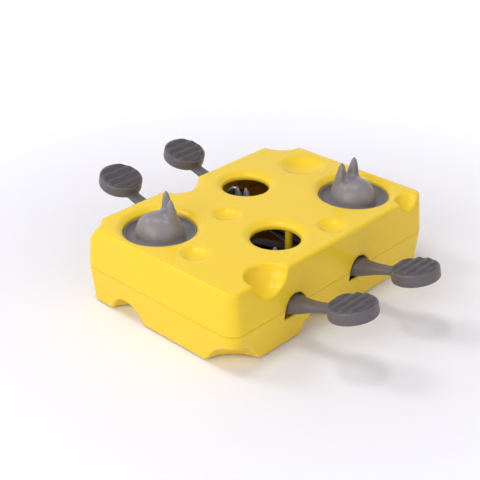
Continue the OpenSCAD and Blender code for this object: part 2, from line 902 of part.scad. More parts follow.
translate([0, -centre_y, 0]) {
    upper_shell();
    lower_shell();
    housing_screws();
    rubber_feet();
    rest_pads();
    at_pop_left() pivot_pin();  // pivot_pin_pop_left
    at_pop_right() pivot_pin();  // pivot_pin_pop_right
    at_cup_left() pivot_pin();  // pivot_pin_cup_left
    at_cup_right() pivot_pin();  // pivot_pin_cup_right
    pin_rings();
    at_pop_left() pop_lever(far_out, far_up, far_tilt);  // pop_lever_left
    at_pop_right() pop_lever(near_out, near_pop_up, near_tilt);  // pop_lever_right
    at_cup_left() cup_lever(near_out, near_up, near_tilt);  // cup_lever_left
    at_cup_right() cup_lever(far_out, far_up, far_tilt);  // cup_lever_right
    at_pop_left() grip_on(far_out, far_up, far_tilt);  // grip_pop_left
    at_pop_right() grip_on(near_out, near_pop_up, near_tilt);  // grip_pop_right
    at_cup_left() grip_on(near_out, near_up, near_tilt);  // grip_cup_left
    at_cup_right() grip_on(far_out, far_up, far_tilt);  // grip_cup_right
    at_pop_left() pop_mouse();  // pop_mouse_left
    at_pop_right() pop_mouse();  // pop_mouse_right
    at_pop_left() pop_mouse_screw();  // pop_mouse_screw_left
    at_pop_right() pop_mouse_screw();  // pop_mouse_screw_right
    at_cup_left() lift_pad();  // lift_pad_left
    at_cup_right() lift_pad();  // lift_pad_right
    at_left_hole() lift_platform();  // lift_platform_left
    at_right_hole() lift_platform();  // lift_platform_right
    at_left_hole() lift_skirt();  // lift_skirt_left
    at_right_hole() lift_skirt();  // lift_skirt_right
    at_left_hole(left_turn) treat_cup();  // treat_cup_left
    at_right_hole(right_turn) treat_cup();  // treat_cup_right
    at_left_hole(left_turn) cup_mouse();  // cup_mouse_left
    at_right_hole(right_turn) cup_mouse();  // cup_mouse_right
    at_left_hole(left_turn) cup_mouse_screws();  // cup_mouse_screws_left
    at_right_hole(right_turn) cup_mouse_screws();  // cup_mouse_screws_right
}
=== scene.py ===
"""Treat puzzle for cats, a cheese-shaped block with side paddles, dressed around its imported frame.

Lengths inside the shape functions are millimetres about the middle of the block and become metres in
the part's frame when a mesh is made: +X along the block, +Y towards the far paddles, +Z up, floor at
zero. A shape is a distance function: for points in rows it gives their distances to its surface,
negative inside, and a union is the smaller of two distances, an intersection the larger.
"""
import logging
import math
from dataclasses import dataclass, field
from enum import Enum
from typing import Callable, Sequence

import bmesh
import bpy
import numpy as np
from mathutils import Matrix, Vector


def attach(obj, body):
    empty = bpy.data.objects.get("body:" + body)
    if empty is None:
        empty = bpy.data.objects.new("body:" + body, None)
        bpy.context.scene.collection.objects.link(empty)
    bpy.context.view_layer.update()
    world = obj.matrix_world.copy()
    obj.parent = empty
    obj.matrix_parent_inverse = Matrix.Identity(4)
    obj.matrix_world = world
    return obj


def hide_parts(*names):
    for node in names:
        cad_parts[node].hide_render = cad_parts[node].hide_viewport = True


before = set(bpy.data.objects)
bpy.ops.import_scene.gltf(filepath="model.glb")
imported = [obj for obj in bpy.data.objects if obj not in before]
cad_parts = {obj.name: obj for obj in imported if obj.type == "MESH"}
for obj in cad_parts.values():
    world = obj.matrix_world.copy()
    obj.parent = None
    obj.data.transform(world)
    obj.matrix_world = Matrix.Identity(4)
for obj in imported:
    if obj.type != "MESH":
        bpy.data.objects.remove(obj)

LOG = logging.getLogger("treat_puzzle")
MM = 0.001
BLOCK_Y = -2.77935  # how far the middle of the block stands off the origin, in millimetres
Field = Callable[[np.ndarray], np.ndarray]


# Distance helpers

def round_join(a: np.ndarray, b: np.ndarray, r: float) -> np.ndarray:
    """Intersection of two solids with a rounded edge.

    Both distances are raised by the radius; outside the corner region the larger one counts, inside it
    the length of the pair does, and the radius comes off again.

    Args:
        a: Distances to the first solid, negative inside.
        b: Distances to the second solid.
        r: Edge radius.

    Returns:
        Distances to the rounded intersection.
    """
    ua, ub = a + r, b + r
    return np.minimum(np.maximum(ua, ub), 0.0) + np.hypot(np.maximum(ua, 0.0), np.maximum(ub, 0.0)) - r


def round_cut(a: np.ndarray, b: np.ndarray, r: float) -> np.ndarray:
    """First solid less the second, with the rim of the cut rounded by r."""
    return round_join(a, -b, r)


def round_union(a: np.ndarray, b: np.ndarray, r: float) -> np.ndarray:
    """Union of two solids with the inner corner between them filled by radius r."""
    return -round_join(-a, -b, r)


def rounded_rect(x: np.ndarray, y: np.ndarray, hx: np.ndarray, hy: np.ndarray, r: np.ndarray) -> np.ndarray:
    """Distance in a plane to a rectangle of half sizes hx and hy with corner radius r."""
    qx, qy = np.abs(x) - (hx - r), np.abs(y) - (hy - r)
    return np.hypot(np.maximum(qx, 0), np.maximum(qy, 0)) + np.minimum(np.maximum(qx, qy), 0) - r


def sphere(p: np.ndarray, centre: Sequence[float], r: float) -> np.ndarray:
    """Distance to a ball."""
    return np.linalg.norm(p - np.asarray(centre), axis=1) - r


def upright(p: np.ndarray, x: float, y: float, r: float) -> np.ndarray:
    """Distance to an endless upright cylinder at x, y."""
    return np.hypot(p[:, 0] - x, p[:, 1] - y) - r


def stub(p: np.ndarray, x: float, y: float, r: float, top: float) -> np.ndarray:
    """Distance to an upright cylinder at x, y that ends at a top."""
    return np.maximum(upright(p, x, y, r), p[:, 2] - top)


def turned(p: np.ndarray, origin: Sequence[float], angle: float, axis: str) -> np.ndarray:
    """Points seen from a frame at origin that is turned by an angle about one axis.

    Args:
        p: Points, one a row.
        origin: The frame's origin.
        angle: Turn of the frame in degrees, by the right-hand rule.
        axis: X, Y or Z.

    Returns:
        The points' places in the turned frame.
    """
    turn = np.array(Matrix.Rotation(math.radians(angle), 3, axis))
    return (p - np.asarray(origin)) @ turn


# From a distance field to a mesh

@dataclass(frozen=True)
class NetMesher:
    """Turns a distance field into quads: one vertex in each grid cell that the surface crosses.

    A cell's vertex starts at the mean of the crossings on its edges and then slides down the field's
    slope, by value over slope, until it lies on the surface. Each grid edge that the surface crosses
    gives one quad between the four cells round it.
    """

    cell: float
    slides: int = 3
    probe: float = 0.02
    least_slope: float = 0.05
    slab_points: int = 400000

    def values(self, shape: Field, axes: Sequence[np.ndarray]) -> np.ndarray:
        """Field on the whole grid, worked out slab by slab along X to spare memory.

        Args:
            shape: Distance field.
            axes: Places of the grid's planes along X, Y and Z.

        Returns:
            Distances, one for each grid point.
        """
        y, z = np.meshgrid(axes[1], axes[2], indexing="ij")
        slabs = np.array_split(axes[0], max(1, len(axes[0]) * y.size // self.slab_points))
        parts = []
        for xs in slabs:
            grid = np.empty((len(xs), y.shape[0], y.shape[1], 3))
            grid[..., 0] = xs[:, None, None]
            grid[..., 1] = y
            grid[..., 2] = z
            parts.append(shape(grid.reshape(-1, 3)).reshape(grid.shape[:3]))
        return np.concatenate(parts)

    def slope(self, shape: Field, p: np.ndarray) -> np.ndarray:
        """Gradient of the field at points, by central differences."""
        steps = np.eye(3) * self.probe
        return np.stack([shape(p + s) - shape(p - s) for s in steps], axis=1) / (2 * self.probe)

    def settle(self, shape: Field, p: np.ndarray) -> np.ndarray:
        """Slides points onto the surface, each slide at most half a cell.

        Args:
            shape: Distance field.
            p: Points, one a row.

        Returns:
            The points on the surface.
        """
        for _ in range(self.slides):
            g = self.slope(shape, p)
            step = -(shape(p) / np.maximum((g * g).sum(axis=1), self.least_slope))[:, None] * g
            length = np.linalg.norm(step, axis=1, keepdims=True)
            p = p + step * np.minimum(1.0, 0.5 * self.cell / np.maximum(length, 1e-9))
        return p

    def mesh(self, shape: Field, low: Sequence[float],
             high: Sequence[float]) -> tuple[np.ndarray, np.ndarray]:
        """Vertices and quads of the field's zero surface inside a box.

        Args:
            shape: Distance field, negative inside.
            low: Lowest corner of the box, in millimetres.
            high: Highest corner of the box.

        Returns:
            Vertices, and quads as rows of four vertex numbers, facing outwards.
        """
        axes = [np.arange(a - 1.5 * self.cell, b + 2.5 * self.cell, self.cell) for a, b in zip(low, high)]
        v = self.values(shape, axes)
        size = np.array(v.shape)
        corner = np.array([(i, j, k) for i in (0, 1) for j in (0, 1) for k in (0, 1)])
        view = [v[i:size[0] - 1 + i, j:size[1] - 1 + j, k:size[2] - 1 + k] for i, j, k in corner]
        inside = sum((w < 0).astype(np.int8) for w in view)
        active = np.argwhere((inside > 0) & (inside < 8))
        number = np.full(size - 1, -1)
        number[tuple(active.T)] = np.arange(len(active))
        at = np.stack([w[tuple(active.T)] for w in view], axis=1)
        total, count = np.zeros((len(active), 3)), np.zeros(len(active))
        for a in range(8):
            for b in range(a + 1, 8):
                if np.abs(corner[a] - corner[b]).sum() != 1:
                    continue
                crossed = (at[:, a] < 0) != (at[:, b] < 0)
                gap = np.where(crossed, at[:, a] - at[:, b], 1.0)
                t = (at[:, a] / gap)[:, None]
                total += np.where(crossed[:, None], corner[a] * (1 - t) + corner[b] * t, 0)
                count += crossed
        start = np.array([a[0] for a in axes])
        points = start + (active + total / count[:, None]) * self.cell
        quads = [self.quads_across(v, number, axis) for axis in range(3)]
        return self.settle(shape, points), np.concatenate(quads)

    def quads_across(self, v: np.ndarray, number: np.ndarray, axis: int) -> np.ndarray:
        """Quads for the grid edges that run along one axis and cross the surface.

        Args:
            v: Distances at the grid points.
            number: Vertex number of each cell.
            axis: 0, 1 or 2, the axis of the edges.

        Returns:
            Rows of four vertex numbers, facing outwards.
        """
        u, w = (axis + 1) % 3, (axis + 2) % 3
        first = np.take(v, range(v.shape[axis] - 1), axis)
        second = np.take(v, range(1, v.shape[axis]), axis)
        at = np.argwhere((first < 0) != (second < 0))
        at = at[(at[:, u] > 0) & (at[:, w] > 0) & (at[:, u] < v.shape[u] - 1) & (at[:, w] < v.shape[w] - 1)]
        back_u, back_w = np.eye(3, dtype=int)[u], np.eye(3, dtype=int)[w]
        ring = [at - back_u - back_w, at - back_w, at, at - back_u]
        quad = np.stack([number[tuple(r.T)] for r in ring], axis=1)
        leaving = first[tuple(at.T)] < 0
        return np.where(leaving[:, None], quad, quad[:, ::-1])


def add_mesh(name: str, points: np.ndarray, faces: np.ndarray) -> bpy.types.Object:
    """Makes a smooth mesh object from arrays.

    Args:
        name: Object name.
        points: Vertices in metres, in the part's frame.
        faces: Rows of vertex numbers, all of one length.

    Returns:
        The object, linked to the scene, with its place in its mesh.
    """
    mesh = bpy.data.meshes.new(name)
    sides = faces.shape[1]
    mesh.vertices.add(len(points))
    mesh.vertices.foreach_set("co", points.astype(np.float32).ravel())
    mesh.loops.add(faces.size)
    mesh.loops.foreach_set("vertex_index", faces.astype(np.int32).ravel())
    mesh.polygons.add(len(faces))
    mesh.polygons.foreach_set("loop_start", np.arange(0, faces.size, sides, dtype=np.int32))
    mesh.polygons.foreach_set("use_smooth", np.ones(len(faces), dtype=bool))
    mesh.update(calc_edges=True)
    mesh.validate()
    obj = bpy.data.objects.new(name, mesh)
    bpy.context.scene.collection.objects.link(obj)
    return obj


def add_piece(name: str, points: np.ndarray, faces: np.ndarray) -> bpy.types.Object:
    """Makes a mesh object from points in millimetres about the middle of the block."""
    return add_mesh(name, (points + [0.0, BLOCK_Y, 0.0]) * MM, faces)


def lathe(profile: np.ndarray, sides: int) -> tuple[np.ndarray, np.ndarray]:
    """Turns a closed profile about the Z axis.

    A point at angle a is (radius cos a, radius sin a, height); profile points on the axis stay single.

    Args:
        profile: Rows of radius and height that run round the outline with the solid on their left.
        sides: Number of steps round the axis.

    Returns:
        Vertices and quads.
    """
    a = np.linspace(0, 2 * np.pi, sides, endpoint=False)
    n = len(profile)
    ring = np.stack([np.outer(np.cos(a), profile[:, 0]), np.outer(np.sin(a), profile[:, 0]),
                     np.broadcast_to(profile[:, 1], (sides, n))], axis=2).reshape(-1, 3)
    i, j = np.meshgrid(np.arange(sides), np.arange(n), indexing="ij")
    quad = np.stack([i * n + j, ((i + 1) % sides) * n + j,
                     ((i + 1) % sides) * n + (j + 1) % n, i * n + (j + 1) % n], axis=2).reshape(-1, 4)
    keep = ~((profile[j, 0] < 1e-6) & (profile[(j + 1) % n, 0] < 1e-6)).ravel()
    return ring, quad[keep]


def merge_close(obj: bpy.types.Object, distance: float = 1e-6) -> None:
    """Merges vertices that lie together, such as those of a lathe's poles."""
    work = bmesh.new()
    work.from_mesh(obj.data)
    bmesh.ops.remove_doubles(work, verts=work.verts, dist=distance)
    bmesh.ops.dissolve_degenerate(work, edges=work.edges, dist=distance)
    work.to_mesh(obj.data)
    work.free()
    obj.data.shade_smooth()


# Finishes

@dataclass(frozen=True)
class PlasticFinish:
    """A moulded plastic: its colour and how that drifts, its gloss, its fine grain and how light sinks in."""

    name: str
    colour: tuple[float, float, float]
    drift: float
    roughness: float
    grain_mm: float
    grain_depth: float
    glow_depth: float = 0.0
    shine: float = 0.5

    def material(self) -> bpy.types.Material:
        """Builds the node material.

        Two noises on Object coordinates move the colour and the gloss a little, and a fine one lifts
        the surface by the depth of the mould's grain. Light sinks a little way into a plastic that has
        a glow depth.

        Returns:
            The material.
        """
        mat = bpy.data.materials.new(self.name)
        mat.use_nodes = True
        nodes, links = mat.node_tree.nodes, mat.node_tree.links
        shader = nodes["Principled BSDF"]
        shader.inputs["IOR"].default_value = 1.5
        shader.inputs["Specular IOR Level"].default_value = self.shine
        if self.glow_depth:
            shader.inputs["Subsurface Weight"].default_value = self.glow_depth
            shader.inputs["Subsurface Radius"].default_value = (1.0, 0.55, 0.15)
            shader.inputs["Subsurface Scale"].default_value = 0.003
        coords = nodes.new("ShaderNodeTexCoord")
        broad = nodes.new("ShaderNodeTexNoise")
        broad.inputs["Scale"].default_value = 18.0
        broad.inputs["Detail"].default_value = 3.0
        links.new(coords.outputs["Object"], broad.inputs["Vector"])
        tint = nodes.new("ShaderNodeMix")
        tint.data_type = "RGBA"
        low = [c * (1 - self.drift) for c in self.colour]
        high = [min(1.0, c * (1 + self.drift)) for c in self.colour]
        tint.inputs["A"].default_value = (*low, 1)
        tint.inputs["B"].default_value = (*high, 1)
        links.new(broad.outputs["Fac"], tint.inputs["Factor"])
        links.new(tint.outputs["Result"], shader.inputs["Base Color"])
        gloss = nodes.new("ShaderNodeMapRange")
        gloss.inputs["To Min"].default_value = self.roughness * 0.9
        gloss.inputs["To Max"].default_value = self.roughness * 1.1
        patch = nodes.new("ShaderNodeTexNoise")
        patch.inputs["Scale"].default_value = 60.0
        links.new(coords.outputs["Object"], patch.inputs["Vector"])
        links.new(patch.outputs["Fac"], gloss.inputs["Value"])
        links.new(gloss.outputs["Result"], shader.inputs["Roughness"])
        grain = nodes.new("ShaderNodeTexNoise")
        grain.inputs["Scale"].default_value = 1000.0 / self.grain_mm
        grain.inputs["Detail"].default_value = 2.0
        links.new(coords.outputs["Object"], grain.inputs["Vector"])
        bump = nodes.new("ShaderNodeBump")
        bump.inputs["Strength"].default_value = 0.5
        bump.inputs["Distance"].default_value = self.grain_depth * MM
        links.new(grain.outputs["Fac"], bump.inputs["Height"])
        links.new(bump.outputs["Normal"], shader.inputs["Normal"])
        return mat


@dataclass(frozen=True)
class SteelFinish:
    """Plain steel wire and screws: metallic, with drawn streaks in its gloss."""

    name: str = "plain_steel"
    colour: tuple[float, float, float] = (0.56, 0.56, 0.58)

    def material(self) -> bpy.types.Material:
        """Builds the metal, with a stretched noise that moves its roughness."""
        mat = bpy.data.materials.new(self.name)
        mat.use_nodes = True
        nodes, links = mat.node_tree.nodes, mat.node_tree.links
        shader = nodes["Principled BSDF"]
        shader.inputs["Base Color"].default_value = (*self.colour, 1)
        shader.inputs["Metallic"].default_value = 1.0
        coords = nodes.new("ShaderNodeTexCoord")
        stretch = nodes.new("ShaderNodeMapping")
        stretch.inputs["Scale"].default_value = (40, 900, 900)
        streak = nodes.new("ShaderNodeTexNoise")
        streak.inputs["Scale"].default_value = 1.0
        gloss = nodes.new("ShaderNodeMapRange")
        gloss.inputs["To Min"].default_value = 0.22
        gloss.inputs["To Max"].default_value = 0.42
        links.new(coords.outputs["Object"], stretch.inputs["Vector"])
        links.new(stretch.outputs["Vector"], streak.inputs["Vector"])
        links.new(streak.outputs["Fac"], gloss.inputs["Value"])
        links.new(gloss.outputs["Result"], shader.inputs["Roughness"])
        return mat


class Finish(Enum):
    """The finishes of the toy, each with the name of its slot in the record."""

    SHELL = "shell"
    MOUSE = "mouse"
    CUP = "cup"
    LEVER = "lever"
    GRIP = "grip"
    RUBBER = "rubber"
    STEEL = "steel"


class Paintbox:
    """Makes each finish once and hands it out."""

    RECIPES = {
        Finish.SHELL: PlasticFinish("cheese_yellow_plastic", (0.94, 0.645, 0.03), drift=0.02, roughness=0.26,
                                    grain_mm=0.7, grain_depth=0.012, glow_depth=0.12, shine=0.3),
        Finish.MOUSE: PlasticFinish("mouse_grey_plastic", (0.252, 0.232, 0.244), drift=0.04, roughness=0.33,
                                    grain_mm=0.5, grain_depth=0.010, shine=0.42),
        # The cup's grey is the mouse's grey made darker: painted shade for the dish, which sits down in its
        # hole under the rim and the head.
        Finish.CUP: PlasticFinish("cup_grey_painted_shade", (0.215, 0.195, 0.206), drift=0.04, roughness=0.38,
                                  grain_mm=0.5, grain_depth=0.010, shine=0.3),
        Finish.LEVER: PlasticFinish("lever_grey_plastic", (0.120, 0.108, 0.114), drift=0.05, roughness=0.42,
                                    grain_mm=0.5, grain_depth=0.015),
        Finish.GRIP: PlasticFinish("grip_grey_plastic", (0.078, 0.069, 0.074), drift=0.05, roughness=0.46,
                                   grain_mm=0.4, grain_depth=0.02),
        Finish.RUBBER: PlasticFinish("black_rubber", (0.02, 0.02, 0.02), drift=0.15, roughness=0.75,
                                     grain_mm=0.4, grain_depth=0.03),
        Finish.STEEL: SteelFinish(),
    }

    def __init__(self) -> None:
        """Starts with nothing mixed."""
        self.mixed: dict[Finish, bpy.types.Material] = {}

    def coat(self, obj: bpy.types.Object, finish: Finish) -> None:
        """Gives an object one finish on all its faces.

        Args:
            obj: The object.
            finish: Its finish.
        """
        if finish not in self.mixed:
            self.mixed[finish] = self.RECIPES[finish].material()
        obj.data.materials.clear()
        obj.data.materials.append(self.mixed[finish])
        obj.data.polygons.foreach_set("material_index", np.zeros(len(obj.data.polygons), dtype=np.int32))


# The toy's measures, in millimetres

FAR = 1e3  # farther than anything on the toy
MOUSE_CELL = 0.55  # grid step for the mice


class Side(Enum):
    """The end of the block that a piece serves."""

    LEFT = "left"
    RIGHT = "right"


class Job(Enum):
    """What a lever moves when its paddle is pressed: a small mouse in a hole, or a treat cup."""

    POP = "pop"
    CUP = "cup"


@dataclass(frozen=True)
class Block:
    """Sizes of the cheese-shaped housing."""

    half_l: float = 125.0
    half_w: float = 87.0
    top: float = 71.5
    seam: float = 34.6
    base: float = 1.2
    corner: float = 11.0
    corner_draft: float = 2.0
    top_inset: float = 2.8
    base_inset: float = 3.0
    run_on: float = 1.2
    edge: float = 2.2
    base_edge: float = 1.5
    seam_edge: float = 0.42
    wall: float = 2.6
    top_t: float = 3.0
    floor_t: float = 3.0

    def sides(self, p: np.ndarray, inset: float = 0.0) -> np.ndarray:
        """Distance to the drafted side walls.

        The outline is widest at the seam and shrinks evenly towards the top and the base, and runs on
        a little past them.

        Args:
            p: Points, one a row.
            inset: How far the walls are drawn in.

        Returns:
            Distances, negative inside.
        """
        z = p[:, 2]
        up = np.clip((z - self.seam) / (self.top - self.seam), 0, self.run_on)
        down = np.clip((self.seam - z) / (self.seam - self.base), 0, self.run_on)
        drawn = inset + self.top_inset * up + self.base_inset * down
        r = self.corner - self.corner_draft * np.maximum(up, down) - inset
        return rounded_rect(p[:, 0], p[:, 1], self.half_l - drawn, self.half_w - drawn, r)


BLOCK = Block()


@dataclass(frozen=True)
class Hole:
    """Two round holes in the top, half a turn apart, each with a dished rim and a tube below."""

    x: float
    y: float
    r: float
    rim: float
    tube_low: float
    tube_wall: float
    rim_drop: float = 3.2

    def dish(self, p: np.ndarray, x: float, y: float) -> np.ndarray:
        """Distance to the ball that dishes the rim.

        It meets the top at the rim's radius, and the hole's wall lower down by the rim's drop.

        Args:
            p: Points, one a row.
            x: Middle of the hole.
            y: Middle of the hole.

        Returns:
            Distances, negative inside.
        """
        up = (self.rim * self.rim - self.r * self.r - self.rim_drop * self.rim_drop) / (2 * self.rim_drop)
        return sphere(p, (x, y, BLOCK.top + up), math.hypot(self.rim, up))


def both_ways(x: float, y: float) -> tuple[tuple[float, float], tuple[float, float]]:
    """A place and the same place after half a turn of the block."""
    return (x, y), (-x, -y)


CUP_HOLE = Hole(-81.5, 38.0, 31.0, 35.5, tube_low=59.6, tube_wall=2.0)
POP_HOLE = Hole(-27.0, -42.0, 21.0, 26.0, tube_low=64.3, tube_wall=2.4)

# Pivots of the levers: the near one of each pair, and all four
PIVOT_Y, PIVOT_Z = 79.0, 33.5
NEAR_PIVOT = {Job.CUP: (-52.0, -PIVOT_Y), Job.POP: (30.0, -PIVOT_Y)}
PIVOTS = (*both_ways(*NEAR_PIVOT[Job.CUP]), *both_ways(*NEAR_PIVOT[Job.POP]))

# Scoops in the edges: centre and radius of each ball
TOP_SCOOPS = ((-80.0, -82.5, 73.5, 19.6), (100.0, -84.0, 72.9, 12.0), (-13.0, 90.0, 76.0, 23.4),
              (123.0, 84.0, 74.0, 24.1), (-121.0, 90.0, 76.0, 17.0))
NEAR_ARCH = (-23.0, -87.0, -4.0, 20.0)
BASE_SCOOPS = ((-125.0, 38.0, -4.0, 20.0), (-128.0, -91.0, -16.0, 41.0), NEAR_ARCH,
               (125.0, -38.0, -4.0, 20.0), (23.0, 87.0, -4.0, 20.0))

# Dimples in the top: place, radius at the top and depth
DIMPLES = ((-94.0, -16.0, 11.5, 5.0), (-28.0, 13.0, 11.5, 5.0), (17.0, -65.0, 11.5, 5.0),
           (92.0, 31.0, 20.5, 7.15))

SCREWS = ((112.0, 72.0), (-112.0, 72.0), (112.0, -72.0), (-84.0, -62.0), (0.0, 33.5), (0.0, -33.5))
FEET = ((75.0, 55.0), (-75.0, 55.0), (75.0, -55.0), (-75.0, -55.0))


@dataclass
class Housing:
    """The two yellow shells. A stub or pit is given by its radius and top."""

    mesher: NetMesher = field(default_factory=lambda: NetMesher(1.3))
    scoop_edge: float = 1.8
    dish_edge: float = 1.4
    rim_edge: float = 1.0
    dimple_edge: float = 2.0
    slot_r: float = 12.5
    slot_spring: float = 32.0
    slot_low: float = 25.0
    slot_in: float = 80.4
    slot_edge: float = 0.5
    post_r: float = 3.5
    boss: tuple[float, float] = (5.1, 9.0)
    screw_pit: tuple[float, float] = (3.3, 7.2)
    screw_pit_edge: float = 0.4
    foot_pit: tuple[float, float] = (7.05, 2.2)
    foot_pit_edge: float = 0.3
    ear_gap: float = 14.5
    ear_half: float = 2.0
    ear_r: float = 4.6
    ear_low: float = 3.0
    ear_edge: float = 0.4
    ear_clear: float = 0.5
    lower_top: float = 38.3

    def slots(self, p: np.ndarray) -> np.ndarray:
        """Distance to the four arched slots: a half-round top over straight sides, through the wall.

        Args:
            p: Points, one a row.

        Returns:
            Distances, negative inside.
        """
        found = np.full(len(p), FAR)
        for x, y in PIVOTS:
            arch = np.hypot(p[:, 0] - x, np.maximum(p[:, 2] - self.slot_spring, 0)) - self.slot_r
            arch = np.maximum(arch, self.slot_low - p[:, 2])
            outward = self.slot_in - p[:, 1] * math.copysign(1.0, y)
            found = np.minimum(found, np.maximum(arch, outward))
        return found

    def scooped(self, p: np.ndarray, outer: np.ndarray, room: np.ndarray,
                scoops: Sequence[Sequence[float]]) -> tuple[np.ndarray, np.ndarray]:
        """Cuts the edge scoops and keeps a wall behind them.

        Args:
            p: Points, one a row.
            outer: Distances to the outside.
            room: Distances to the hollow inside.
            scoops: Centre and radius of each ball.

        Returns:
            The outside and the hollow with the scoops.
        """
        for x, y, z, r in scoops:
            ball = sphere(p, (x, y, z), r)
            outer = round_cut(outer, ball, self.scoop_edge)
            room = np.maximum(room, BLOCK.wall - ball)
        return outer, room

    def upper(self, p: np.ndarray) -> np.ndarray:
        """Upper shell: a drafted box hollowed from below, with dished holes, dimples and edge scoops.

        Args:
            p: Points, one a row.

        Returns:
            Distances, negative inside.
        """
        b, z = BLOCK, p[:, 2]
        outer = round_join(b.sides(p), z - b.top, b.edge)
        room = np.maximum(b.sides(p, b.wall), z - (b.top - b.top_t))
        outer, room = self.scooped(p, outer, room, TOP_SCOOPS)
        for x, y, rim, depth in DIMPLES:
            r = (rim * rim + depth * depth) / (2 * depth)
            ball = sphere(p, (x, y, b.top - depth + r), r)
            outer = round_cut(outer, ball, self.dimple_edge)
            room = np.maximum(room, b.top_t - ball)
        for hole in (CUP_HOLE, POP_HOLE):
            for x, y in both_ways(hole.x, hole.y):
                dish = hole.dish(p, x, y)
                outer = round_cut(outer, dish, self.dish_edge)
                outer = round_cut(outer, upright(p, x, y, hole.r), self.rim_edge)
                room = np.maximum(room, b.wall - dish)
                tube = np.maximum(upright(p, x, y, hole.r + hole.tube_wall), hole.tube_low - z)
                room = np.maximum(room, -tube)
        for x, y in SCREWS:
            room = np.maximum(room, -upright(p, x, y, self.post_r))
        outer = round_join(outer, b.seam - z, b.seam_edge)
        return round_cut(np.maximum(outer, -room), self.slots(p), self.slot_edge)

    def lower(self, p: np.ndarray) -> np.ndarray:
        """Lower shell: a drafted tray with base scoops, screw posts, bearing ears and pits for the feet.

        Args:
            p: Points, one a row.

        Returns:
            Distances, negative inside.
        """
        b = BLOCK
        x, y, z = p.T
        outer = round_join(b.sides(p), b.base - z, b.base_edge)
        room = np.maximum(b.sides(p, b.wall), (b.base + b.floor_t) - z)
        outer, room = self.scooped(p, outer, room, BASE_SCOOPS)
        for at in SCREWS:
            room = np.maximum(room, -upright(p, *at, self.post_r))
            room = np.maximum(room, -stub(p, *at, *self.boss))
            outer = round_cut(outer, stub(p, *at, *self.screw_pit), self.screw_pit_edge)
        for at in FEET:
            outer = round_cut(outer, stub(p, *at, *self.foot_pit), self.foot_pit_edge)
        outer = round_join(outer, z - b.seam, b.seam_edge)
        shell = round_cut(np.maximum(outer, -room), self.slots(p), self.slot_edge)
        ears = np.full(len(p), FAR)
        for px, py in PIVOTS:
            across = np.abs(np.abs(x - px) - self.ear_gap) - self.ear_half
            post = np.hypot(y - py, np.maximum(z - PIVOT_Z, 0)) - self.ear_r
            ears = np.minimum(ears, round_join(np.maximum(across, post), self.ear_low - z, self.ear_edge))
        return np.minimum(shell, np.maximum(ears, -sphere(p, NEAR_ARCH[:3], NEAR_ARCH[3] + self.ear_clear)))

    def build(self, paint: Paintbox) -> None:
        """Makes both shells and has them ride on the housing.

        Args:
            paint: Where the finishes come from.
        """
        b = BLOCK
        for name, shape, low, high in (("upper_shell", self.upper, b.seam, b.top),
                                       ("lower_shell", self.lower, b.base, self.lower_top)):
            points, quads = self.mesher.mesh(shape, (-b.half_l, -b.half_w, low), (b.half_l, b.half_w, high))
            obj = add_piece(f"{name}_moulding", points, quads)
            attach(obj, "housing")
            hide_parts(name)
            paint.coat(obj, Finish.SHELL)
            LOG.info("%s: %d quads", name, len(quads))


@dataclass(frozen=True)
class InnerArm:
    """The bar inside the housing, with pockets in its flanks, and what stands at its end.

    x is across the bar, u along it from the pivot and v square to both.
    """

    length: float
    half_w: float = 6.0
    root: float = 7.5
    tip: float = 3.5
    edge: float = 0.5
    margin: float = 7.5
    pockets: int = 5
    rib: float = 2.0
    web: float = 1.2
    flange: float = 2.0
    pocket_edge: float = 0.3
    end_edge: float = 0.6
    seat_x: float = 3.0
    seat_r: float = 9.5
    seat_half: float = 3.5
    screw_r: float = 3.2
    screw_top: float = -0.9
    pad_x: float = 29.5
    pad_r: float = 7.5
    pad_half: float = 3.0
    pad_pit: tuple[float, float] = (5.05, 2.0)
    bridge_half: float = 5.0
    knuckle_r: float = 6.0

    def bar(self, x: np.ndarray, u: np.ndarray, v: np.ndarray) -> np.ndarray:
        """Tapered bar with a row of equal pockets in each flank, with ribs between them.

        Args:
            x: Places across the bar.
            u: Places along it.
            v: Heights over its middle line.

        Returns:
            Distances, negative inside.
        """
        half = self.root + (self.tip - self.root) * np.clip(u / self.length, 0, 1)
        bar = round_join(np.abs(x) - self.half_w, np.abs(v) - half, self.edge)
        bar = np.maximum(bar, np.maximum(-u, u - self.length))
        step = (self.length - 2 * self.margin) / self.pockets
        along = np.abs((u - self.margin) % step - (step + self.rib) / 2) - (step - self.rib) / 2
        pocket = np.maximum(np.maximum(self.web - np.abs(x), np.abs(v) - half + self.flange), along)
        pocket = np.maximum(pocket, np.maximum(self.margin - u, u - self.length + self.margin))
        return round_cut(bar, pocket, self.pocket_edge)

    def mouse_seat(self, x: np.ndarray, u: np.ndarray, v: np.ndarray) -> np.ndarray:
        """Round plate for the small mouse, with a pit for its screw below.

        Args:
            x: Places across the bar.
            u: Places along it.
            v: Heights over its middle line.

        Returns:
            Distances, negative inside.
        """
        out = np.hypot(x + self.seat_x, u - self.length)
        seat = round_join(out - self.seat_r, np.abs(v) - self.seat_half, self.end_edge)
        return np.maximum(seat, -np.maximum(out - self.screw_r, v - self.screw_top))

    def pad_seat(self, x: np.ndarray, u: np.ndarray, v: np.ndarray) -> np.ndarray:
        """Bridge from the bar's end to the round seat of the lift pad, with the pit that holds the pad.

        Args:
            x: Places across the bar.
            u: Places along it.
            v: Heights over its middle line.

        Returns:
            Distances, negative inside.
        """
        w = u - self.length
        out = np.hypot(x + self.pad_x, w)
        flat = np.abs(v) - self.pad_half
        bridge = np.maximum(np.maximum(np.abs(w) - self.bridge_half, flat), np.maximum(x, -self.pad_x - x))
        pad = round_join(out - self.pad_r, flat, self.end_edge)
        knuckle = round_join(np.hypot(x, w) - self.knuckle_r, flat, self.end_edge)
        pit_r, pit_low = self.pad_pit
        return np.maximum(np.minimum(np.minimum(bridge, pad), knuckle), -np.maximum(out - pit_r, pit_low - v))


